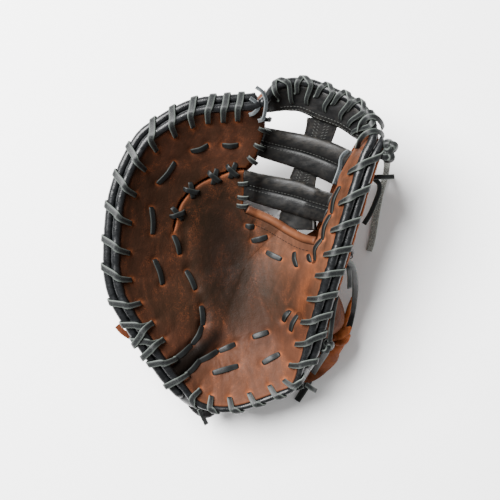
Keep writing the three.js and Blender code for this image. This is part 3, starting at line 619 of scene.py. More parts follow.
# %% [markdown]
# Each turn of the rim lace comes up through a hole and crosses the rolls a little further on. The
# tables give both places as angles about the pocket's bottom.
# %% Lace turns
FINGER_TURNS = [
    (93.3, 91), (98.8, 96), (104.7, 101.6), (111.3, 107.3), (119.2, 114.4), (128.9, 122.1),
    (138, 132.7), (149.2, 143.3), (161.7, 154.9), (175.3, 168.8), (188.5, 181), (201.3, 195),
    (212.8, 205.5), (222.5, 214.5), (232.8, 228), (241, 240),
]
CROSSING_TURNS = [(212.4, 217.5), (222.1, 224.5)]
HEEL_TURNS = [
    (248.5, 251.5), (255.4, 259.1), (263.6, 267.7), (272.3, 276.4), (281.5, 285.7), (289.3, 294.2),
]
THUMB_TURNS = [
    (296, 300.5), (304.5, 313.5), (316, 326), (331.4, 341), (349.4, 358), (364.8, 373), (379, 387),
    (390.6, 397.6), (399.5, 404.4),
]
CROWN_TURNS = [
    (412, 410.5), (416.3, 414.8), (421, 419.5), (426.9, 425.4), (433.7, 432.2), (440, 438.4),
]
HOLE_INSET = 6.5
THUMB_INSET = 4.2


def hole_inset(degrees):
    """How far a lace hole lies inside the rim; the thumb's upper holes lie close to the roll."""
    return np.interp(degrees, (338, 362), (HOLE_INSET, THUMB_INSET))


rim_turns = FINGER_TURNS + HEEL_TURNS + THUMB_TURNS
rim_holes = np.array([
    rim_point(np.radians(hole), -hole_inset(hole), 0)[:2] for hole, _ in rim_turns
])

# Laces sewn through the palm: from and to in plan
PALM_STITCHES = [
    (-54.5, 92.1, -39.5, 97.7), (-25.4, 97.9, -11.3, 98.0), (-85.5, 62.0, -70.5, 81.7),
    (-92.4, 39.6, -92.0, 15.2), (-90.4, -9.5, -83.2, -32.5), (-73.0, 13.5, -67.6, -3.9),
    (-61.1, -20.4, -52.4, -37.9), (-46.6, -54.4, -43.6, -72.7), (-44.6, -73.7, -54.0, -90.6),
    (-54.9, -91.5, -73.2, -106.5), (-14.6, -91.7, -29.2, -98.2), (-31.1, -98.2, -47.3, -107.2),
    (-47.3, -106.2, -61.3, -121.6), (-35.8, -119.1, -11.7, -112.7), (-3.9, 23.5, 3.9, 22.5),
    (2.0, 8.8, 16.7, 12.7), (15.7, -2.0, 29.3, -8.8), (41.7, -1.9, 43.4, -15.4),
    (53.6, -3.8, 54.4, -10.5), (2.9, -84.9, 17.5, -79.9), (12.6, -109.7, 28.1, -100.8),
    (30.9, -68.7, 36.6, -58.7), (37.5, -77.8, 42.1, -62.2), (82.7, 58.6, 74.7, 34.6),
    (73.9, 32.7, 66.8, 10.4), (66.0, 10.4, 58.0, -8.6),
]
# Ties at the finger side of the web, and the crossed ties of the crescent: middle in plan
WEB_TIES = [
    (11.2, 123.6), (12.2, 112.6), (7.6, 97.4), (1.9, 85.6), (-8.7, 65.4), (-10.6, 51.3),
    (-8.8, 37.0),
]
CROSS_TIES = [(-16.3, 71.8), (-33.6, 67.5), (-55.6, 58.0), (-68.0, 33.0)]
print(len(rim_holes), "rim holes", len(PALM_STITCHES), "palm stitches")

# %% [markdown]
# The outlines of the web opening and of the crescent slit are lines in plan. They cut the palm
# while it is still flat, and the cut slab is then pressed into the bowl: that way a cut edge
# stands square to the leather, as a knife leaves it, and the Boolean works on a simple shape.
# %% Outlines in plan
def in_plan(rows):
    return np.array(rows) * (WIDTH, LENGTH)


WEB_FINGER_SIDE = in_plan([
    (0.05, 0.5), (0.053, 0.381), (0.05, 0.339), (0.03, 0.287), (0.01, 0.257), (-0.02, 0.226),
    (-0.021, 0.178), (-0.026, 0.13),
])
WEB_THUMB_SIDE = in_plan([
    (0.236, 0.063), (0.255, 0.111), (0.278, 0.165), (0.3, 0.218), (0.332, 0.267), (0.364, 0.314),
    (0.386, 0.343), (0.43, 0.39),
])
POCKET_EDGE = in_plan([
    (-0.01, 0.119), (0.07, 0.089), (0.136, 0.055), (0.179, 0.035), (0.218, 0.026),
])
CRESCENT = in_plan([
    (0.01, 0.231), (-0.051, 0.231), (-0.092, 0.22), (-0.127, 0.211), (-0.164, 0.197),
    (-0.195, 0.177), (-0.223, 0.151), (-0.243, 0.122), (-0.257, 0.07), (-0.261, 0.049),
])


def beside(line, distance):
    """A line moved sideways, to the left of its own direction."""
    along = unit(np.gradient(line, axis=0))
    return line + np.stack([-along[:, 1], along[:, 0]], 1) * distance


def distance_to(line, x, y):
    """Distance from each point to an open line in plan."""
    best = np.full(np.shape(x), 1e9)
    for (ax, ay), (bx, by) in zip(line[:-1], line[1:]):
        dx, dy = bx - ax, by - ay
        t = np.clip(((x - ax) * dx + (y - ay) * dy) / (dx * dx + dy * dy), 0, 1)
        best = np.minimum(best, np.hypot(x - ax - dx * t, y - ay - dy * t))
    return best


POCKET_ROLL = 4.2
pocket_curve = smooth_line(POCKET_EDGE, 8)
pocket_inner = beside(pocket_curve, -POCKET_ROLL)
finger_side = smooth_line(WEB_FINGER_SIDE, 6)
thumb_side = smooth_line(WEB_THUMB_SIDE, 6)
far_corner = np.array([[0.45 * WIDTH, 0.6 * LENGTH]])
web_outline = np.vstack([thumb_side, far_corner, finger_side, pocket_inner])
crescent_curve = smooth_line(CRESCENT, 6)
CRESCENT_WIDTH = 3.0
taper = CRESCENT_WIDTH / 2 * np.minimum(1, np.linspace(8, 0.05, len(crescent_curve)))[:, None]
crescent_side = unit(np.gradient(crescent_curve, axis=0)) @ np.array([[0, 1], [-1, 0]]) * taper
near_side, far_side = crescent_curve - crescent_side, crescent_curve + crescent_side
crescent_outline = np.vstack([far_side, near_side[::-1]])
print("web outline", len(web_outline), "points")


def waves(x, y, size, seed):
    """Smooth random hills between -1 and 1, about size millimetres across."""
    grid = np.random.default_rng(seed).uniform(-1, 1, (64, 64))
    u, v = x / size + 20, y / size + 20
    i, j = np.floor(u).astype(int), np.floor(v).astype(int)
    s, t = ease(u - i), ease(v - j)
    low = mixed(grid[i % 64, j % 64], grid[(i + 1) % 64, j % 64], s)
    high = mixed(grid[i % 64, (j + 1) % 64], grid[(i + 1) % 64, (j + 1) % 64], s)
    return mixed(low, high, t)


def prism(outline, low, high):
    count = len(outline)
    points = [(*p, low) for p in outline] + [(*p, high) for p in outline]
    faces = [tuple(range(count))[::-1], tuple(range(count, 2 * count))]
    faces += [(i, (i + 1) % count, count + (i + 1) % count, count + i) for i in range(count)]
    area = sum(a[0] * b[1] - b[0] * a[1] for a, b in zip(outline, np.roll(outline, -1, axis=0)))
    return Body(points, faces if area > 0 else [face[::-1] for face in faces])


def cut(body, cutters, keep=False):
    """A body less the cutters, or with keep, the part of it inside the first cutter."""
    target = placed("blank", body.points, body.faces)
    tools = [placed("tool", part.points, part.faces) for part in cutters]
    for k, tool in enumerate(tools):
        change = target.modifiers.new("cut", "BOOLEAN")
        change.object = tool
        change.solver = "MANIFOLD"
        change.operation = "INTERSECT" if keep and k == 0 else "DIFFERENCE"
    bpy.context.view_layer.update()
    result = target.evaluated_get(bpy.context.evaluated_depsgraph_get()).to_mesh()
    points = np.zeros(len(result.vertices) * 3)
    result.vertices.foreach_get("co", points)
    faces = [tuple(polygon.vertices) for polygon in result.polygons]
    for made in [target] + tools:
        bpy.data.objects.remove(made)
    return Body(points.reshape(-1, 3), faces)


def polar_slab(turns, shares, lower, upper):
    """Two faces given by functions of angle and share, joined round the rim into a closed bowl."""
    angle = np.arange(turns) / turns * TURN
    per, last = 1 + len(shares) * turns, 1 + (len(shares) - 1) * turns
    points, faces = [], []
    for start, face in ((0, upper), (per, lower)):
        points.append(face(np.zeros(1), np.zeros(1)))
        points += [face(angle, np.full(turns, share)) for share in shares]
        for i in range(turns):
            j = (i + 1) % turns
            made = [(0, 1 + i, 1 + j)]
            for low in range(1, last, turns):
                high = low + turns
                made.append((low + i, high + i, high + j, low + j))
            faces += [tuple(start + k for k in (row[::-1] if start else row)) for row in made]
    for i in range(turns):
        j = (i + 1) % turns
        faces.append((last + i, per + last + i, per + last + j, last + j))
    return Body(np.vstack(points), faces)


# %% [markdown]
# The palm is the piece that everyone looks at. Its relief holds what happened to the leather: it
# sinks beside each lace, puckers between the rim holes, folds at the heel hinge and under the
# thumb, and rises softly over the padding. Marks for holes, edges, bends and shade are taken from
# the same distances; the shade in the folds and underneath is painted shade, and a painted sheen
# lightens the thumb, the heel and the palm right of its centre.
# %% Palm
stitch_rows = np.array(PALM_STITCHES)
stitch_ends = np.vstack([stitch_rows[:, :2], stitch_rows[:, 2:]])
HINGE_LINES = [
    np.array([(-73.2, -106.5), (-54.0, -90.6), (-44.6, -73.7), (-43.0, -62.0)]),
    np.array([(-61.3, -121.6), (-47.3, -107.2), (-30.0, -98.2), (-14.6, -91.7)]),
]
HINGE_RIDGE = np.array([(-70.0, -116.0), (-50.0, -100.0), (-34.0, -84.0)])
HINGE_END = np.array([(-70.0, -116.0), (-66.0, -113.0)])
THUMB_FOLD = np.array([(58.0, -8.6), (49.0, -40.0), (43.0, -67.0)])
PAD_SEAM = np.array([(-64.0, 20.0), (-56.0, -24.0), (-45.0, -52.0), (-44.0, -72.0)])
# From the pocket's bottom to the rim, on average
WALL_REACH = 130


def hills(x, y, spots, size):
    total = np.zeros(np.shape(x))
    for sx, sy in spots:
        total += np.exp(-((x - sx) ** 2 + (y - sy) ** 2) / size**2)
    return np.minimum(total, 1.2)


def fold(line, x, y, width):
    return falloff(distance_to(line, x, y), width)


def puckers(x, y):
    """Grooves that the lace pulls inward from each rim hole."""
    total = np.zeros(np.shape(x))
    inward = unit(CENTRE[:2] - rim_holes)
    for (hx, hy), (ix, iy) in zip(rim_holes, inward):
        ahead = (x - hx) * ix + (y - hy) * iy
        sideways = ((x - hx) * iy - (y - hy) * ix) / (1.6 + 0.12 * np.abs(ahead))
        total += np.exp(-(sideways**2) - (np.maximum(ahead, -2 * ahead) / 10) ** 2)
    return total


def heel_lines(x, y):
    """Fine folds that fan out over the heel from the hinge."""
    turn, reach = np.arctan2(y + 84, x + 34), np.hypot(y + 84, x + 34)
    fan = ease((reach - 12) / 14) * ease((62 - reach) / 30)
    fan = fan * ease((turn + 1.9) / 0.5) * ease((0.5 - turn) / 0.5)
    return fan * waves(turn * 26 + 0.02 * reach, reach * 0.12, 1.0, 11)


def palm_relief(x, y):
    share = share_at(x, y)[0]
    away = (1 - share) * WALL_REACH
    rise = 0.9 * waves(x, y, 34, 3) + 0.35 * waves(x, y, 12, 4) + 0.16 * waves(x, y, 5, 5)
    rise *= ease((1 - share) / 0.12)
    rise -= 1.5 * hills(x, y, stitch_ends, 4.2) + 1.1 * hills(x, y, rim_holes, 3.4)
    rise += 0.7 * falloff(away, 7) * (1 - hills(x, y, rim_holes, 8))
    rise -= 0.9 * puckers(x, y)
    for line in HINGE_LINES:
        rise -= 2.2 * fold(line, x, y, 5)
    rise += 0.6 * fold(HINGE_RIDGE, x, y, 7) + 0.5 * heel_lines(x, y)
    rise -= 2.4 * fold(THUMB_FOLD, x, y, 6)
    rise -= 1.2 * fold(PAD_SEAM, x, y, 5)
    rise += 1.2 * np.exp(-(((x + 5) / 40) ** 2) - ((y + 120) / 22) ** 2)
    return rise


PALM_TURNS = 540
palm_shares = np.concatenate([[0.02], np.linspace(0.05, 0.925, 62), np.linspace(0.94, 1.01, 7)])
SLAB = 10.0


def deep_prism(outline):
    return prism(outline, -2 * SLAB, SLAB)


def flat_face(level):
    def face(angle, share):
        return np.stack([*plan_point(angle, share), np.full(angle.shape, level)], -1)
    return face


flat_palm = cut(
    polar_slab(PALM_TURNS, palm_shares, flat_face(-SLAB), flat_face(0.0)),
    [deep_prism(web_outline), deep_prism(crescent_outline)],
)
x, y = flat_palm.points[:, 0], flat_palm.points[:, 1]
down = -flat_palm.points[:, 2] / SLAB
share = share_at(x, y)[0]
thick = PALM_THICK + 3.0 * (1 - ease((share - 0.55) / 0.35))
cut_edges = (finger_side, thumb_side, crescent_outline)
near_cut = np.min([distance_to(line, x, y) for line in cut_edges], axis=0)
rounded = 0.7 * np.exp(-near_cut / 0.8) * (1 - 2 * down)
rise = palm_relief(x, y) * (1 - down)
from_rim = (1 - share) * WALL_REACH
holes = 0.7 * hills(x, y, stitch_ends, 2.2) + hills(x, y, rim_holes, 2.8)
edge = 0.8 * np.exp(-near_cut / 1.2) + 0.2 * falloff(from_rim, 1.6)
bend = 0.5 * fold(HINGE_END, x, y, 6) + 0.3 * fold(THUMB_FOLD, x, y, 5)
bend += 0.3 * ease((x - 58) / 12) * falloff(from_rim, 6)
warm = 0.2 + 0.5 * ease((x - 20) / 50) + 0.6 * ease((-55 - y) / 50) + 0.15 * ease((-50 - x) / 40)
warm += 0.4 * ease((y - 60) / 40) - 0.35 * ease((x - 56) / 12)
# The mark shade: a darker band left of the pocket's centre and darker mottling over the thumb
# panel, with painted shade in the hinge crease, at its lower end and on the hidden underside.
shade = 0.7 * ease(1.2 - np.hypot((x + 26) / 34, (y + 5) / 85))
shade = np.maximum(shade, 0.9 * fold(HINGE_RIDGE, x, y, 10)) + 0.5 * ease(down * 2 - 1)
shade += 0.45 * np.exp(-((x + 64) / 20) ** 2 - ((y + 104) / 24) ** 2)
shade += ease((x - 60) / 14) * (0.24 + 0.34 * waves(x, y, 15, 23) + 0.2 * waves(x, y, 5, 24))
# Painted sheen: lighter where the lamp's light and sheen fall, on the thumb panel, the heel and
# right of the pocket's centre.
pale = 0.55 * ease((x - 50) / 18) + 0.3 * ease((-76 - y) / 30)
pale += 0.45 * np.exp(-((x - 36) ** 2 + (y - 2) ** 2) / 30**2)
palm_marks = {
    "hole": np.clip(holes, 0, 1) * (1 - down), "edge": edge, "bend": bend, "warm": warm,
    "shade": np.clip(shade, 0, 1), "pale": pale * (1 - down),
}
palm_points = front_point(x, y, down * thick + rounded - rise)
palm_body = Body(palm_points, flat_palm.faces, **palm_marks)
piece("palm_leather", palm_body, brown_leather, ["palm_panel"])

# %% [markdown]
# A roll is a strip of hide folded round a cord. It is slightly pinched wherever a lace crosses
# it.
# %% Rolls
def over_angles(turns):
    return np.radians([over for _, over in turns])


def roll_body(line, radius, angles, pinches, sides=20):
    pinch = np.zeros(len(angles))
    for place in pinches:
        pinch = np.maximum(pinch, falloff(angles - place, 0.026))
    uneven = 0.012 * np.sin(angles * 57) + 0.01 * np.sin(angles * 131 + 1)
    radius = radius * (1 - 0.09 * pinch + uneven)
    inside = np.minimum(np.arange(len(angles)), np.arange(len(angles))[::-1]) + 0.3
    radius = radius * np.sqrt(1 - np.clip(1 - inside / 3, 0, 1) ** 2)
    body = sweep(line, UP, round_outline(sides), 2 * radius, 2 * radius)
    body.marks["edge"] = np.repeat(pinch, sides) * 0.6
    top = np.clip(round_outline(sides)[:, 1], 0, 1) ** 3
    body.marks["bend"] = np.tile(top, len(line))
    return body


def spread(start, end, step=0.8):
    return np.radians(np.linspace(start, end, int((end - start) / step) + 1))


def roll(name, solid, turn, line, radius, pinches):
    body = roll_body(line, radius, turn, pinches)
    piece(name, body, roll_leather, [solid])


FINGER_CORNER, THUMB_CORNER = 86, 406
crossings = over_angles(rim_turns)
turn = spread(FINGER_CORNER - 2.6, THUMB_CORNER + 1.6)
roll("front_rim_roll", "front_roll", turn, front_roll_line(turn), front_radius(turn), crossings)
for name, solid, start, end, pinches in (
    ("finger_rim_roll", "finger_back_roll", FINGER_CORNER - 3.4, 247, crossings),
    ("wrist_roll", "wrist_binding", 245.6, 298.4, []),
    ("thumb_rim_roll", "thumb_back_roll", 292, THUMB_CORNER, crossings),
):
    turn = spread(start, end)
    roll(name, solid, turn, back_roll_line(turn), back_radius(turn), pinches)
turn = spread(407, 444, 0.5)
crown_line, crown_radius = front_roll_line(turn, WEB_THICK), np.full(len(turn), ROLL)
roll("crown_roll", "web_crown_roll", turn, crown_line, crown_radius, over_angles(CROWN_TURNS))

# %% [markdown]
# Each lace turn is one strap: up through its hole, over both rolls at a slant, and down between
# roll and back. It is narrow where the hole squeezes it. Under the leather a run joins one turn
# to the next.
# %% Rim laces
LACE_WIDTH, LACE_THICK = 6.0, 1.7
# How far the joining runs lie under the leather
RUN_DEPTH = 3.2


def lace_turn(hole, over, leather, double):
    inset = float(hole_inset(hole))
    hole, over = np.float64(math.radians(hole)), math.radians(over)
    lift = LACE_THICK / 2 + 0.35
    rows = []

    def through(out, below, lean, width):
        spot = rim_point(hole, out, 0)
        normal = front_normal(spot[0], spot[1])
        inward = rim_point(hole, -1, 0) - rim_point(hole, 0, 0)
        at = front_point(spot[0], spot[1], below)
        rows.append([*at, *(inward + normal * (lean - inward @ normal)), width])

    def bend(t, seat, radius, degrees, width=1.0):
        angle = mixed(hole, over, t)
        out, up = seats(angle, leather)[seat]
        c, s = math.cos(math.radians(degrees)), math.sin(math.radians(degrees))
        face = rim_point(angle, c, s) - rim_point(angle, 0, 0)
        at = rim_point(angle, out + (radius + lift) * c, up + (radius + lift) * s)
        rows.append([*at, *face, width])

    first = float(front_radius(mixed(hole, over, 0.5)))
    start = 90 + float(seats(hole, leather)[2])
    through(-inset, leather + RUN_DEPTH, 0, 0.7)
    through(-inset, 0.6, 0.1, 0.72)
    through(1.0 - inset, -1.7, 1.0, 0.8)
    bend(0.14, 0, first, start + 8, 0.92)
    bend(0.28, 0, first, mixed(start, 66, 0.5))
    bend(0.5, 0, first, 68)
    last = [
        (0.82, 1, ROLL, 64), (0.92, 1, ROLL, 25), (0.99, 1, ROLL, -15), (1.03, 1, ROLL, -55, 0.9),
    ] if double else [(0.75, 0, first, 20), (0.95, 0, first, -35), (1.0, 0, first, -85, 0.9)]
    for row in last:
        bend(*row)
    return np.array(rows)


def lace_strap(rows, steps=5, width=LACE_WIDTH, thick=LACE_THICK):
    fine = smooth_line(rows, steps)
    scale = fine[:, 6] if fine.shape[1] > 6 else np.ones(len(fine))
    thick = thick * (2.2 - 1.2 * scale)
    return sweep(fine[:, :3], unit(fine[:, 3:6]), FLAT_OUTLINE, width * scale, thick)


def lacing(turns, leather, double):
    straps = [lace_strap(lace_turn(hole, over, leather, double)) for hole, over in turns]
    if turns is FINGER_TURNS:
        for hole, over in CROSSING_TURNS:
            rows = lace_turn(hole, over, leather, double)
            rows[3:, :3] += unit(rows[3:, 3:6]) * LACE_THICK * 0.9
            straps.append(lace_strap(rows))
    angle = np.radians(np.linspace(turns[0][0], turns[-1][0], 8 * len(turns)))
    spot = rim_point(angle, -hole_inset(np.degrees(angle)), 0)
    x, y = spot[:, :2].T
    under = np.hstack([front_point(x, y, leather + RUN_DEPTH), front_normal(x, y)])
    straps.append(lace_strap(under, 1, LACE_WIDTH - 1))
    return joined(straps)


for name, solid, turns, double in (
    ("finger_lacing", "finger_rim_lace", FINGER_TURNS, True),
    ("heel_lacing", "heel_lace", HEEL_TURNS, False),
    ("thumb_lacing", "thumb_rim_lace", THUMB_TURNS, True),
):
    piece(name, lacing(turns, PALM_THICK, double), lace_leather, [solid])

# %% [markdown]
# The web is made of flat straps of black hide. Each is a strip between two lines in plan, cut to
# the web opening while flat and then laid into the bowl at its own depth. A strip knows how far
# down it a point is from its distances to the two lines, so folds and seams can be pressed in
# after the cut.
# %% Web straps
def strip(top, bottom, columns, rows):
    """A flat slab between two lines in plan, as wide as they are apart."""
    a, b = (at_places(line, np.linspace(0, len(line) - 1, columns + 1)) for line in (top, bottom))
    t = np.linspace(0, 1, rows + 1)[None, :, None]
    plan = mixed(a[:, None, :], b[:, None, :], t)
    count = (columns + 1) * (rows + 1)
    plan = plan.reshape(-1, 2)
    points = np.vstack([np.insert(plan, 2, level, axis=1) for level in (0, -SLAB)])

    def at(c, r, side):
        return side * count + c * (rows + 1) + r

    faces = []
    for c in range(columns):
        for r in range(rows):
            quad = [(c, r), (c, r + 1), (c + 1, r + 1), (c + 1, r)]
            faces.append(tuple(at(*p, 0) for p in quad))
            faces.append(tuple(at(*p, 1) for p in quad[::-1]))
    ring = [(c, 0) for c in range(columns)] + [(columns, r) for r in range(rows)]
    ring += [(c, rows) for c in range(columns, 0, -1)] + [(0, r) for r in range(rows, 0, -1)]
    for p, q in zip(ring, ring[1:] + ring[:1]):
        faces.append((at(*p, 0), at(*q, 0), at(*q, 1), at(*p, 1)))
    return Body(points, faces)


def web_piece(name, solid, top, bottom, size, depth_at, bend_at, inside=True):
    flat = strip(top, bottom, *size)
    if inside:
        flat = cut(flat, [deep_prism(web_outline)], keep=True)
    x, y = flat.points[:, 0], flat.points[:, 1]
    down = -flat.points[:, 2] / SLAB
    from_top, from_bottom = distance_to(top, x, y), distance_to(bottom, x, y)
    s = from_top / (from_top + from_bottom)
    near = np.minimum(from_top, from_bottom)
    rounded = 1.3 * np.exp(-near / 1.2) * (1 - 2 * down)
    depth = depth_at(x, y, s) * (1 - down) + (depth_at(x, y, s) * 0.3 + WEB_THICK) * down
    marks = {"edge": np.exp(-near / 2.0), "bend": bend_at(x, y, s)}
    body = Body(front_point(x, y, depth + rounded), flat.faces, **marks)
    return piece(name, body, web_leather, [solid])


def plan_line(rows, steps=10):
    return smooth_line(in_plan(rows), steps)


UPPER_TOP = plan_line([(0.02, 0.352), (0.179, 0.329), (0.278, 0.301), (0.36, 0.262)])
UPPER_BOTTOM = plan_line([(0, 0.276), (0.147, 0.238), (0.24, 0.203), (0.31, 0.172)])
LOWER_TOP = plan_line([(-0.03, 0.229), (0.144, 0.204), (0.21, 0.184), (0.3, 0.15)])
LOWER_BOTTOM = plan_line([(-0.04, 0.152), (0.128, 0.109), (0.18, 0.096), (0.27, 0.07)])
BAR_SEAM = 0.5


def bar_depth(x, y, s):
    """How far a web bar's top lies under the bowl: a plump fold above its seam, flatter below."""
    plump = 2.0 * np.sin(math.pi * np.clip(s / BAR_SEAM, 0, 1)) ** 0.7
    flat = 1.0 * np.sin(math.pi * np.clip((s - BAR_SEAM) / (1 - BAR_SEAM), 0, 1)) ** 0.7
    seam = 0.7 * falloff(s - BAR_SEAM, 0.05)
    wrinkle = 0.2 * waves(x * 0.5 + y, y * 2.2 - x, 11, 21) + 0.12 * waves(x, y, 5, 22)
    return 0.6 - plump - flat + seam - wrinkle


def bar_bend(x, y, s):
    return 0.9 * falloff(s - 0.16, 0.14) + 0.35 * falloff(s - 0.72, 0.12)


BARS = [
    ("upper_bar", "web_bar_upper", UPPER_TOP, UPPER_BOTTOM),
    ("lower_bar", "web_bar_lower", LOWER_TOP, LOWER_BOTTOM),
]
for row in BARS:
    web_piece(*row, (90, 26), bar_depth, bar_bend)

crown_turn = np.radians(np.linspace(405, 445, 60))
CROWN_TOP = np.stack(plan_point(crown_turn, 1.014), 1)
CROWN_BOTTOM = plan_line([
    (0.39, 0.285), (0.343, 0.311), (0.315, 0.329), (0.286, 0.345), (0.227, 0.366), (0.168, 0.39),
    (0.134, 0.393), (0.101, 0.392), (0.02, 0.378),
], 8)


def crown_depth(x, y, s):
    return 0.2 - 0.5 * waves(x, y, 14, 31) - 0.25 * waves(x, y, 5, 32) - 0.8 * np.sin(math.pi * s)


def crown_bend(x, y, s):
    return 0.45 * waves(x, y, 18, 33) + 0.25


web_piece("crown_band", "web_crown", CROWN_TOP, CROWN_BOTTOM, (110, 22), crown_depth, crown_bend)

POST_LEFT = plan_line([
    (0.187, 0.372), (0.18, 0.334), (0.146, 0.238), (0.13, 0.2), (0.103, 0.11), (0.094, 0.062),
], 8)
POST_RIGHT = plan_line([
    (0.286, 0.372), (0.278, 0.334), (0.235, 0.238), (0.216, 0.2), (0.203, 0.11), (0.2, 0.062),
], 8)
POST_UNDER = WEB_THICK + GAP + 0.8


def post_depth(x, y, s):
    low = 3.5 * ease((66 - y) / 50)
    return POST_UNDER + low - 0.5 * np.sin(math.pi * s) - 0.2 * waves(x, y, 6, 41)


def post_bend(x, y, s):
    return 0.3 + 0.3 * waves(x, y, 15, 42)


web_piece("post", "web_post", POST_LEFT, POST_RIGHT, (80, 20), post_depth, post_bend, inside=False)

pocket_fine = smooth_line(front_point(*pocket_curve.T, 2), 2)
pocket_body = sweep(pocket_fine, UP, round_outline(20), 2 * POCKET_ROLL, 2 * POCKET_ROLL)
pocket_body = cut(pocket_body, [prism(web_outline, -20, 200)], keep=True)
px, py, _ = pocket_body.points.T
pocket_body.marks = {
    "edge": 0.5 * fold(pocket_curve, px, py, 1.6),
    "warm": 0.45 + 0.3 * waves(px, py, 12, 51),
}
pocket_body.points[:, 2] += 0.25 * waves(px, py, 6, 52)
piece("pocket_roll", pocket_body, edge_leather, ["pocket_edge_roll"])

# %% [markdown]
# Thread is sewn, so every stitch is its own little bead of thread that dips into the leather at
# both ends. A row is a line in plan, a pitch and a depth: the same few lines sew every seam.
# %% Stitches
def measured(line, pitch):
    """Points every pitch millimetres along a line, with the line's direction there."""
    steps = np.linalg.norm(np.diff(line, axis=0), axis=1)
    reach = np.concatenate([[0], np.cumsum(steps)])
    at = np.arange(pitch / 2, reach[-1], pitch)
    spots, ahead, behind = (at_places(line, at + shift, reach) for shift in (0, 0.4, -0.4))
    return spots, unit(ahead - behind)


def stitch(start, end, normal, size):
    t = np.array([0.0, 0.12, 0.5, 0.88, 1.0])[:, None]
    line = start + (end - start) * t + normal * np.array([-0.5, 0.12, 0.3, 0.12, -0.5])[:, None]
    grow = np.array([0.5, 0.95, 1.0, 0.95, 0.5]) * size
    return sweep(line, normal, round_outline(6), grow, grow)


def sewn(line, pitch, length, depth_at, size=0.75, slant=0.0):
    spots, along = measured(line, pitch)
    c, s = math.cos(slant), math.sin(slant)
    rows = []
    for spot, way in zip(spots, along @ np.array([[c, s], [-s, c]])):
        x, y = np.array([spot - way * length / 2, spot + way * length / 2]).T
        start, end = front_point(x, y, depth_at(x, y))
        rows.append(stitch(start, end, front_normal(*spot), size))
    return joined(rows)


def between(top, bottom, s, trim=(0.04, 0.96)):
    t = np.linspace(*trim, 60)
    a, b = (at_places(line, t * (len(line) - 1)) for line in (top, bottom))
    return mixed(a, b, s)


def on_strip(depth, s):
    return lambda x, y: depth(x, y, s)


grey_rows = []
for _, _, top, bottom in BARS:
    for s in (BAR_SEAM - 0.055, BAR_SEAM + 0.075):
        line = between(top, bottom, s, (0.06, 0.9))
        grey_rows.append(sewn(line, 3.1, 2.3, on_strip(bar_depth, s), 0.55))
for s in (0.80, 0.92):
    line = between(CROWN_TOP, CROWN_BOTTOM, s, (0.1, 0.86))
    grey_rows.append(sewn(line, 3.1, 2.3, on_strip(crown_depth, s)))
for s in (0.28, 0.4, 0.6, 0.72):
    line, lean = between(POST_LEFT, POST_RIGHT, s), 0.9 if s < 0.5 else -0.9
    grey_rows.append(sewn(line, 2.7, 2.6, on_strip(post_depth, s), 0.7, lean))
piece("web_stitches", joined(grey_rows), grey_thread)
palm_seam = beside(pocket_curve, -10.5)[3:-3]
palm_row = sewn(palm_seam, 3.0, 2.2, lambda x, y: -palm_relief(x, y), 0.6)
piece("pocket_stitches", palm_row, dark_thread)

# %% [markdown]
# Laces through the palm hold its padding. Each shows as one short flat length between two holes.
# %% Palm laces
def palm_lace(ax, ay, bx, by, width=5.4, lift=1.0):
    a, b = np.array([ax, ay]), np.array([bx, by])
    size = np.linalg.norm(b - a)
    way = (b - a) / size
    rows = []
    for reach, below, scale in (
        (-0.4, 3.4, 0.75), (0.2, 0.0, 0.8), (2.0, -lift, 0.95), (size / 2, -lift - 0.3, 1.0),
        (size - 2.0, -lift, 0.95), (size - 0.2, 0.0, 0.8), (size + 0.4, 3.4, 0.75),
    ):
        spot = a + way * reach
        lean = way if reach < 1 else (-way if reach > size - 1 else way * 0)
        face = front_normal(*spot) - np.array([*lean, 0]) * 0.9
        rows.append([*front_point(*spot, below - palm_relief(*spot)), *face, scale])
    return lace_strap(rows, width=width)


def nearest(line, spot):
    """The line's point nearest to spot, with the directions along it and to its left."""
    k = np.argmin(np.hypot(*(line - spot).T))
    along = unit(np.gradient(line, axis=0))[k]
    return line[k], along, np.array([-along[1], along[0]])


piece("palm_laces", joined([palm_lace(*row) for row in PALM_STITCHES]), dark_lace)

crossed = []
for spot in CROSS_TIES:
    middle, along, square = nearest(crescent_curve, spot)
    for lean, lift in ((0.62, 1.3), (-0.62, 2.9)):
        way = square * math.cos(lean) + along * math.sin(lean)
        crossed.append(palm_lace(*(middle - way * 7), *(middle + way * 7), 5.0, lift))
piece("crescent_ties", joined(crossed), dark_lace)

# %% [markdown]
# Short ties sew the finger side of the web to its panel, and pairs of ties hold the crown's roll:
# two lengths from neighbouring holes meet over the roll in a point.
# %% Ties of the web
ties = []
for spot in WEB_TIES:
    middle, _, square = nearest(finger_side, spot)
    rows = []
    for reach, below, scale in (
        (-5.5, 3, 0.8), (-5.0, -0.4, 0.85), (-2.0, -1.9, 1), (1.8, -1.6, 1), (4.5, -0.2, 1),
        (5.3, 3.5, 0.8),
    ):
        at = middle + square * reach
        rows.append([*front_point(*at, below), *front_normal(*at), scale])
    ties.append(lace_strap(rows, width=4.4, thick=1.6))
piece("web_side_ties", joined(ties), lace_leather)

crown_ties = []
for hole, over in CROWN_TURNS:
    for shift, inset, lift in ((1.9, 5.0, 0.0), (-2.9, 13.0, 1.6)):
        rows = lace_turn(over + shift, over - shift * 0.15, WEB_THICK, False)
        far = rim_point(np.radians(over + shift), -inset, 0)
        half = rim_point(np.radians(over + shift * 0.8), -inset * 0.55, 0)
        for k, (spot, below) in enumerate(((far, 3.4), (far, -0.5), (half, -2.2 - lift))):
            rows[k, :3] = front_point(spot[0], spot[1], below)
        rows[3:7, 2] += lift * 0.7
        crown_ties.append(lace_strap(rows, width=5.0))
piece("crown_ties", joined(crown_ties), lace_leather, ["crown_lace"])

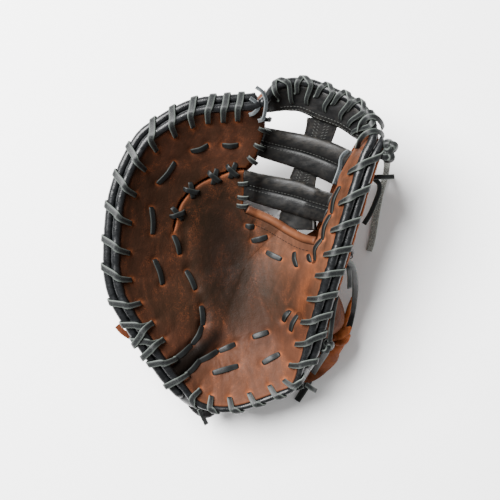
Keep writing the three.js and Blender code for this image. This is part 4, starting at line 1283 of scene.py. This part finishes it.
# %% [markdown]
# A knot is a short length of lace wound through itself. A trefoil line gives the three crossings.
# %% Knots
def trefoil(middle, size, turn, flat=0.8, width=5.2, thick=2.2):
    t = np.linspace(0, TURN, 90)
    x = (np.sin(t) + 2 * np.sin(2 * t)) / 3
    y = (np.cos(t) - 2 * np.cos(2 * t)) / 3
    z = -np.sin(3 * t) * 0.42 * flat
    c, s = math.cos(turn), math.sin(turn)
    line = np.stack([x * c - y * s, x * s + y * c, z], 1) * size + middle
    facing = unit((line - middle) * np.array([1, 1, 0.4]) + np.array([0, 0, size * 0.9]))
    body = sweep(line, facing, FLAT_OUTLINE, width, thick)
    body.marks["edge"] = body.marks["edge"] * 0.55
    return body


KNOT_RADIUS = 6.6


def knot_place(degrees, drop):
    angle = np.radians(np.float64(degrees))
    out, up = seats(angle, PALM_THICK)[1]
    reach = ROLL + 0.83 * KNOT_RADIUS + GAP
    lower = math.radians(drop)
    return rim_point(angle, out + reach * math.cos(lower), up - reach * math.sin(lower))


web_knot_at, heel_knot_at = knot_place(404.5, 12), knot_place(307, 30)
web_knot = []
for shift, size, outer, inner in ((0, 6.0, 0.5, 1.5), (np.array([2.2, 7.0, 1.0]), 5.6, 1.4, 0.4)):
    web_knot.append(trefoil(web_knot_at + shift, size, outer, 0.9, 6.2, 2.6))
    web_knot.append(trefoil(web_knot_at + shift, 3.2, inner, 0.5, 6.0, 3.6))
piece("web_lace_knot", joined(web_knot), lace_leather, ["web_knot"])
piece("heel_lace_knot", trefoil(heel_knot_at, 6.2, 1.6), lace_leather, ["heel_knot"])
print("knots at", web_knot_at.round(1), heel_knot_at.round(1))

# %% [markdown]
# The lace does not end at the rim: odd lengths of it lie against the back and tie the web's
# corners. The thumb's back leather shows beside its roll, swells at the heel and is gathered into
# a fold there. Both are drawn in a brighter tan as painted light, and the fold darkens towards the
# floor as painted shadow.
# %% Loose lengths and the thumb's side
STRANDS = {
    "thumb_strand": [(80.1, -42.6, 106), (78.4, -51, 104), (76.8, -63.3, 100), (75.8, -74.9, 95),
                     (74.8, -86.5, 90)],
    "thumb_stub": [(87.3, -11.1, 103), (91.7, -16.8, 100), (93.4, -25.3, 92), (94.2, -36, 84)],
    "heel_stub": [(53.9, -129, 66), (58.9, -133.2, 64), (64.1, -136.8, 58)],
    "web_stub": [(110.4, 66.8, 104), (117.8, 67.7, 104), (126.4, 67.9, 102), (134.3, 68.5, 99)],
    "web_strand": [(114.6, 67.1, 100), (120.4, 61.6, 98), (120.6, 54.2, 96), (117.2, 44.1, 93),
                   (112.8, 33.8, 91), (107, 24.4, 92)],
    "pocket_strand": [(50.8, -130.5, 70), (45.2, -132.6, 68), (37.5, -133.6, 68)],
    "crown_tie": [(5.5, 148.6, 121), (11.4, 144, 121.5), (14.6, 137.1, 119), (14.2, 128.3, 116),
                  (12, 120.4, 113), (7.4, 118.6, 112.5)],
    "panel_tie": [(0, 138.9, 119), (5, 135.4, 118), (7.3, 130.1, 116.5), (3.7, 125.7, 115),
                  (-0.9, 124, 114)],
    "corner_tie_low": [(97.8, 93.2, 119), (99.6, 99.6, 128), (104.3, 104.8, 134.5),
                       (111.5, 107, 134.5), (118.6, 105.9, 128), (121.5, 102.3, 119)],
    "corner_tie_high": [(99.5, 107.7, 120), (100.4, 113.9, 129), (105.2, 119.1, 135),
                        (112.4, 119.6, 134.5), (118.6, 115.4, 128), (121.5, 111.5, 119)],
    "bottom_tie": [(-50.2, -156.4, 44), (-46.5, -165.2, 38), (-43.3, -173.1, 32)],
    "strap_end": [(-102.6, -80.6, 70), (-113, -83.3, 72), (-121.5, -78.4, 73), (-127.3, -72.3, 72)],
    "bar_tie": [(90.7, 91.7, 106), (87.2, 89.1, 103.6), (84.6, 84.6, 101.4), (83.8, 77.3, 100.3),
                (81, 68.9, 100), (78.4, 61.6, 97.9)],
}
STRAND_LOOKS = dict.fromkeys(("crown_tie", "panel_tie", "bar_tie"), (pale_lace, 3.6))
STRAND_LOOKS |= dict.fromkeys(("corner_tie_low", "corner_tie_high"), (lace_leather, 5.0))
STRAND_LOOKS["strap_end"] = (tan_leather, 5.5)
for name, rows in STRANDS.items():
    finish, width = STRAND_LOOKS.get(name, (lace_leather, 4.6))
    line = smooth_line(rows, 8)
    piece(name, sweep(line, np.array([0.25, 0.1, 1.0]), FLAT_OUTLINE, width, 1.8), finish)

turn = spread(318, 405)
out, up = seats(turn, PALM_THICK)[1]
edge_line = rim_point(turn, out + 3.4, up - 5.4)
edge_width = 6.4 + waves(turn * 60, turn, 3, 71)
edge_body = sweep(edge_line, np.array([0.3, 0, 1.0]), round_outline(14), edge_width, 7.5)
edge_body.marks = {"warm": 0.8 + 0.3 * waves(*edge_body.points.T[:2], 10, 72)}
piece("thumb_back_edge", edge_body, painted_lit_leather)


def gathered(rows, seed, folds):
    """A plump run of leather; rows give its line, width and height, and folds run across it."""
    fine = smooth_line(rows, 10)
    body = sweep(fine[:, :3], UP, round_outline(28), fine[:, 3], fine[:, 4])
    x, y, z = body.points.T
    deep = folds * waves(x + 0.4 * z, y, 5, seed)
    body.points[:, 2] += deep + 0.5 * folds * waves(x, y + z, 2.5, seed + 1)
    body.points[:, 0] += 0.6 * folds * waves(y, z, 6, seed + 2)
    body.marks = {
        "warm": 0.7 + 0.4 * waves(x, y, 9, seed + 3),
        "bend": 0.5 * ease(waves(x, y, 6, seed + 4) * 2),
        # Painted shadow: darker towards the floor.
        "shade": np.clip((36 - z) / 45, 0, 0.6),
    }
    return body


HEEL_SWELL = [
    (88.1, -76.3, 40, 18, 12), (82, -83.4, 36, 34, 22), (73.1, -89.8, 29, 46, 27),
    (65.1, -98.7, 21, 52, 24), (58.9, -108.9, 14, 50, 18), (53.9, -119.8, 10, 40, 14),
    (48.6, -129.7, 8, 24, 9),
]
FOLDS = [
    [(99.1, -75.6, 46, 3, 3), (94.1, -79.4, 48, 9, 8), (88, -82.1, 50, 12, 10),
     (83.2, -85.2, 49, 9, 8), (78.7, -87.5, 44, 3, 3)],
    [(81.5, -90.3, 46, 4, 4), (86.1, -90.1, 49, 8, 7), (92.1, -88.2, 48, 9, 8),
     (97.5, -83.7, 43, 4, 4)],
    [(98.1, -45.4, 62, 1, 1), (97, -53.3, 59, 3.4, 2.5), (94.8, -62.2, 56, 5, 3),
     (91.8, -71.3, 52, 6, 4), (88.3, -80.5, 46, 5, 4)],
]
HEEL_PAD = [
    (-59.3, -152.3, 38, 6, 6), (-51.5, -158.1, 36, 10, 9), (-42.7, -161.2, 35, 11, 10),
    (-33.7, -158.6, 36, 6, 6),
]
heel_pad = piece("heel_padding", gathered(HEEL_PAD, 85, 0.5), web_leather)
swelling = [gathered(HEEL_SWELL, 81, 0.8)]
swelling += [gathered(rows, 90 + 7 * k, 0.7) for k, rows in enumerate(FOLDS)]
piece("thumb_heel_fold", joined(swelling), painted_lit_leather)

# %% [markdown]
# The back leathers follow the front at the depth of a finger stall and lie flat where the mitt
# rests. They are cut from one bowl by the seam between thumb and fingers, by the strap and by the
# back opening.
# %% Back of the mitt
STALL_DEPTH, REST_DROP, BACK_THICK = 35.0, 28.0, 2.6


def floor_at(z, lowest, soft=5.0):
    d = z - lowest
    eased = lowest + (d + soft) ** 2 / (4 * soft)
    return np.where(d >= soft, z, np.where(d <= -soft, lowest, eased))


def swell(angle, share):
    """Outward bulge of the back leather beyond the rolls, and down by a part of it."""
    height = ease((share - 0.5) / 0.3) * ease((1 - share) / 0.1)
    out = np.zeros(np.shape(angle))
    for middle, half, size in ((320, 26, 0.09), (15, 42, 0.03)):
        away = np.abs((np.degrees(angle) - middle + 540) % 360 - 180) / half
        bulge = size * WIDTH * height * np.cos(np.minimum(away, 1) * math.pi / 2) ** 2
        out = out + np.where(away < 1, bulge, 0)
    return np.stack([np.cos(angle) * out, np.sin(angle) * out, -0.45 * out], -1)


def back_point(angle, share, inside):
    x, y = plan_point(angle, share)
    mouth = mouth_at(angle)[:, None]
    depth = mixed(STALL_DEPTH + REST_DROP, STALL_DEPTH, ease(share / 0.75))
    depth = depth - 8 * ease((share - 0.7) / 0.3)
    side = front_point(x, y, depth - inside) + swell(angle, share)
    edge = back_roll_line(angle)
    seat = (back_radius(angle) + GAP)[:, None]
    rim = rim_point(angle, 0, 0)
    away = edge - rim
    away[:, 2] = 0
    away = unit(away)
    high = edge - away * (0.7 * seat + inside)
    high[:, 2] -= (0.75 * seat + 0.2)[:, 0]
    low = edge - away * seat
    low[:, 2] = inside
    end = mixed(high, low, mouth)
    flat = mixed(CENTRE, end, share[:, None])
    flat[:, 2] = inside
    wall = mixed(side, high, ease((share - 0.8) / 0.2)[:, None])
    point = mixed(wall, flat, mouth)
    point[:, 2] = floor_at(point[:, 2], inside)
    last = end.copy()
    last[:, 2] = np.maximum(end[:, 2], inside)
    return np.where((share >= 1)[:, None], last, point)


def stalls(angle, share):
    """The finger stalls swell between their seams."""
    degrees = np.degrees(angle) % 360
    fingers = ease((degrees - 96) / 10) * ease((232 - degrees) / 12)
    high = ease((share - 0.45) / 0.2) * ease((0.97 - share) / 0.12)
    return fingers * high * (np.abs(np.sin((degrees - 96) / 136 * 3 * math.pi)) ** 0.5 - 0.55) * 3.2


def inner_back(angle, share):
    return back_point(angle, share, BACK_THICK)


def outer_back(angle, share):
    point = back_point(angle, share, 0.0)
    away = unit(point - inner_back(angle, share) + np.array([0, 0, -1e-6]))
    bulge = stalls(angle, share) + 0.5 * waves(point[:, 0], point[:, 1] + point[:, 2], 16, 61)
    free = ease((point[:, 2] - 3) / 8)
    return point + away * (bulge * free)[:, None]


back_shares = np.concatenate([np.linspace(0.1, 0.6, 9), np.linspace(0.64, 1, 19)])
back_bowl = polar_slab(220, back_shares, outer_back, inner_back)
STRAP_TOP = -0.27 * LENGTH
FAR = LENGTH
SEAM_GAP = 0.2


def seam_line(shift):
    """The seam between thumb and fingers, from the strap up."""
    line = in_plan([(0.03, -0.27), (0.03, 0.16), (0.12, 0.3), (0.12, 1)]) + (shift, 0)
    line[0, 1] += SEAM_GAP
    return line


def tall_prism(outline):
    return prism(outline, -30, 300)


hole_turn = np.arange(56) / 56 * TURN
back_hole = np.stack([0.01 + 0.15 * np.cos(hole_turn), -0.18 + 0.085 * np.sin(hole_turn)], 1)
back_hole = in_plan(back_hole)
behind_web = np.vstack([thumb_side, far_corner, finger_side, POCKET_EDGE[1], POCKET_EDGE[3]])
openings = [tall_prism(behind_web), tall_prism(back_hole)]


def back_marks(body, lines):
    x, y, z = body.points.T
    near = np.min([distance_to(line, x, y) for line in lines], axis=0)
    body.marks = {
        "edge": 0.8 * np.exp(-near / 3.0), "warm": 0.45 + 0.35 * waves(x, y + z, 40, 62),
        "bend": 0.35 * ease(waves(x + z, y, 22, 63)),
    }
    return body


ring = np.vstack([back_hole, back_hole[:1]])
for name, solid, shift, side in (
    ("finger_back_leather", "finger_back", -SEAM_GAP, -FAR),
    ("thumb_back_leather", "thumb_back", SEAM_GAP, FAR),
):
    panel = np.vstack([seam_line(shift), (side, FAR), (side, STRAP_TOP + SEAM_GAP)])
    leather = cut(back_bowl, [tall_prism(panel)] + openings, keep=True)
    piece(name, back_marks(leather, [ring, seam_line(0)]), tan_leather, [solid])
strap_edge = STRAP_TOP - SEAM_GAP
below_strap = np.array([(-FAR, -FAR), (FAR, -FAR), (FAR, strap_edge), (-FAR, strap_edge)])
strap_line = np.array([(-FAR, STRAP_TOP), (FAR, STRAP_TOP)])
body = back_marks(cut(back_bowl, [tall_prism(below_strap)], keep=True), [strap_line])
piece("wrist_leather", body, tan_leather, ["wrist_strap"])

# %% [markdown]
# The back is sewn from panels with a round welt in every seam and a row of thread on both sides
# of it.
# %% Welts and seams of the back
def back_line(rows, steps=12):
    """A line on the outside of the back, from rows of degrees and share."""
    degrees, share = smooth_line(rows, steps).T
    return outer_back(np.radians(degrees), share)


def outward(line):
    return unit(line - (CENTRE[0], CENTRE[1], 60.0))


WELTS = [
    [(118, 0.94), (119, 0.8), (121, 0.62), (126, 0.45)],
    [(141, 0.95), (142, 0.8), (144, 0.62), (148, 0.42)],
    [(164, 0.95), (165, 0.8), (166, 0.62), (168, 0.42)],
    [(187, 0.95), (187, 0.8), (187, 0.62), (188, 0.42)],
    [(209, 0.95), (208, 0.8), (206, 0.62), (204, 0.46)],
    [(345, 0.94), (345, 0.82), (344, 0.7), (340, 0.56)],
    [(372, 0.94), (371, 0.84), (369, 0.72), (364, 0.58)],
]
welts, seams = [], []
for rows in WELTS:
    line = back_line(rows)
    way = outward(line)
    welts.append(sweep(line + way * 0.6, way, round_outline(10), 3.4, 3.4))
    across = unit(np.cross(np.gradient(line, axis=0), way))
    for side in (-4.0, 4.0):
        spots, along = measured(line + across * side + way * 0.4, 3.4)
        for spot, step in zip(spots, along):
            seams.append(stitch(spot - step * 1.2, spot + step * 1.2, outward(spot), 0.8))
piece("back_welts", joined(welts), roll_leather)
piece("back_seams", joined(seams), dark_thread)

# %% [markdown]
# The boxes of the imported solids and of the dressed mitt are printed side by side. Soft folds and
# lace ends reach further than the solids.
# %% Size of what is shown
size = {"cad": cad_box, "visual": [list(corner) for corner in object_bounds()]}
print(size)
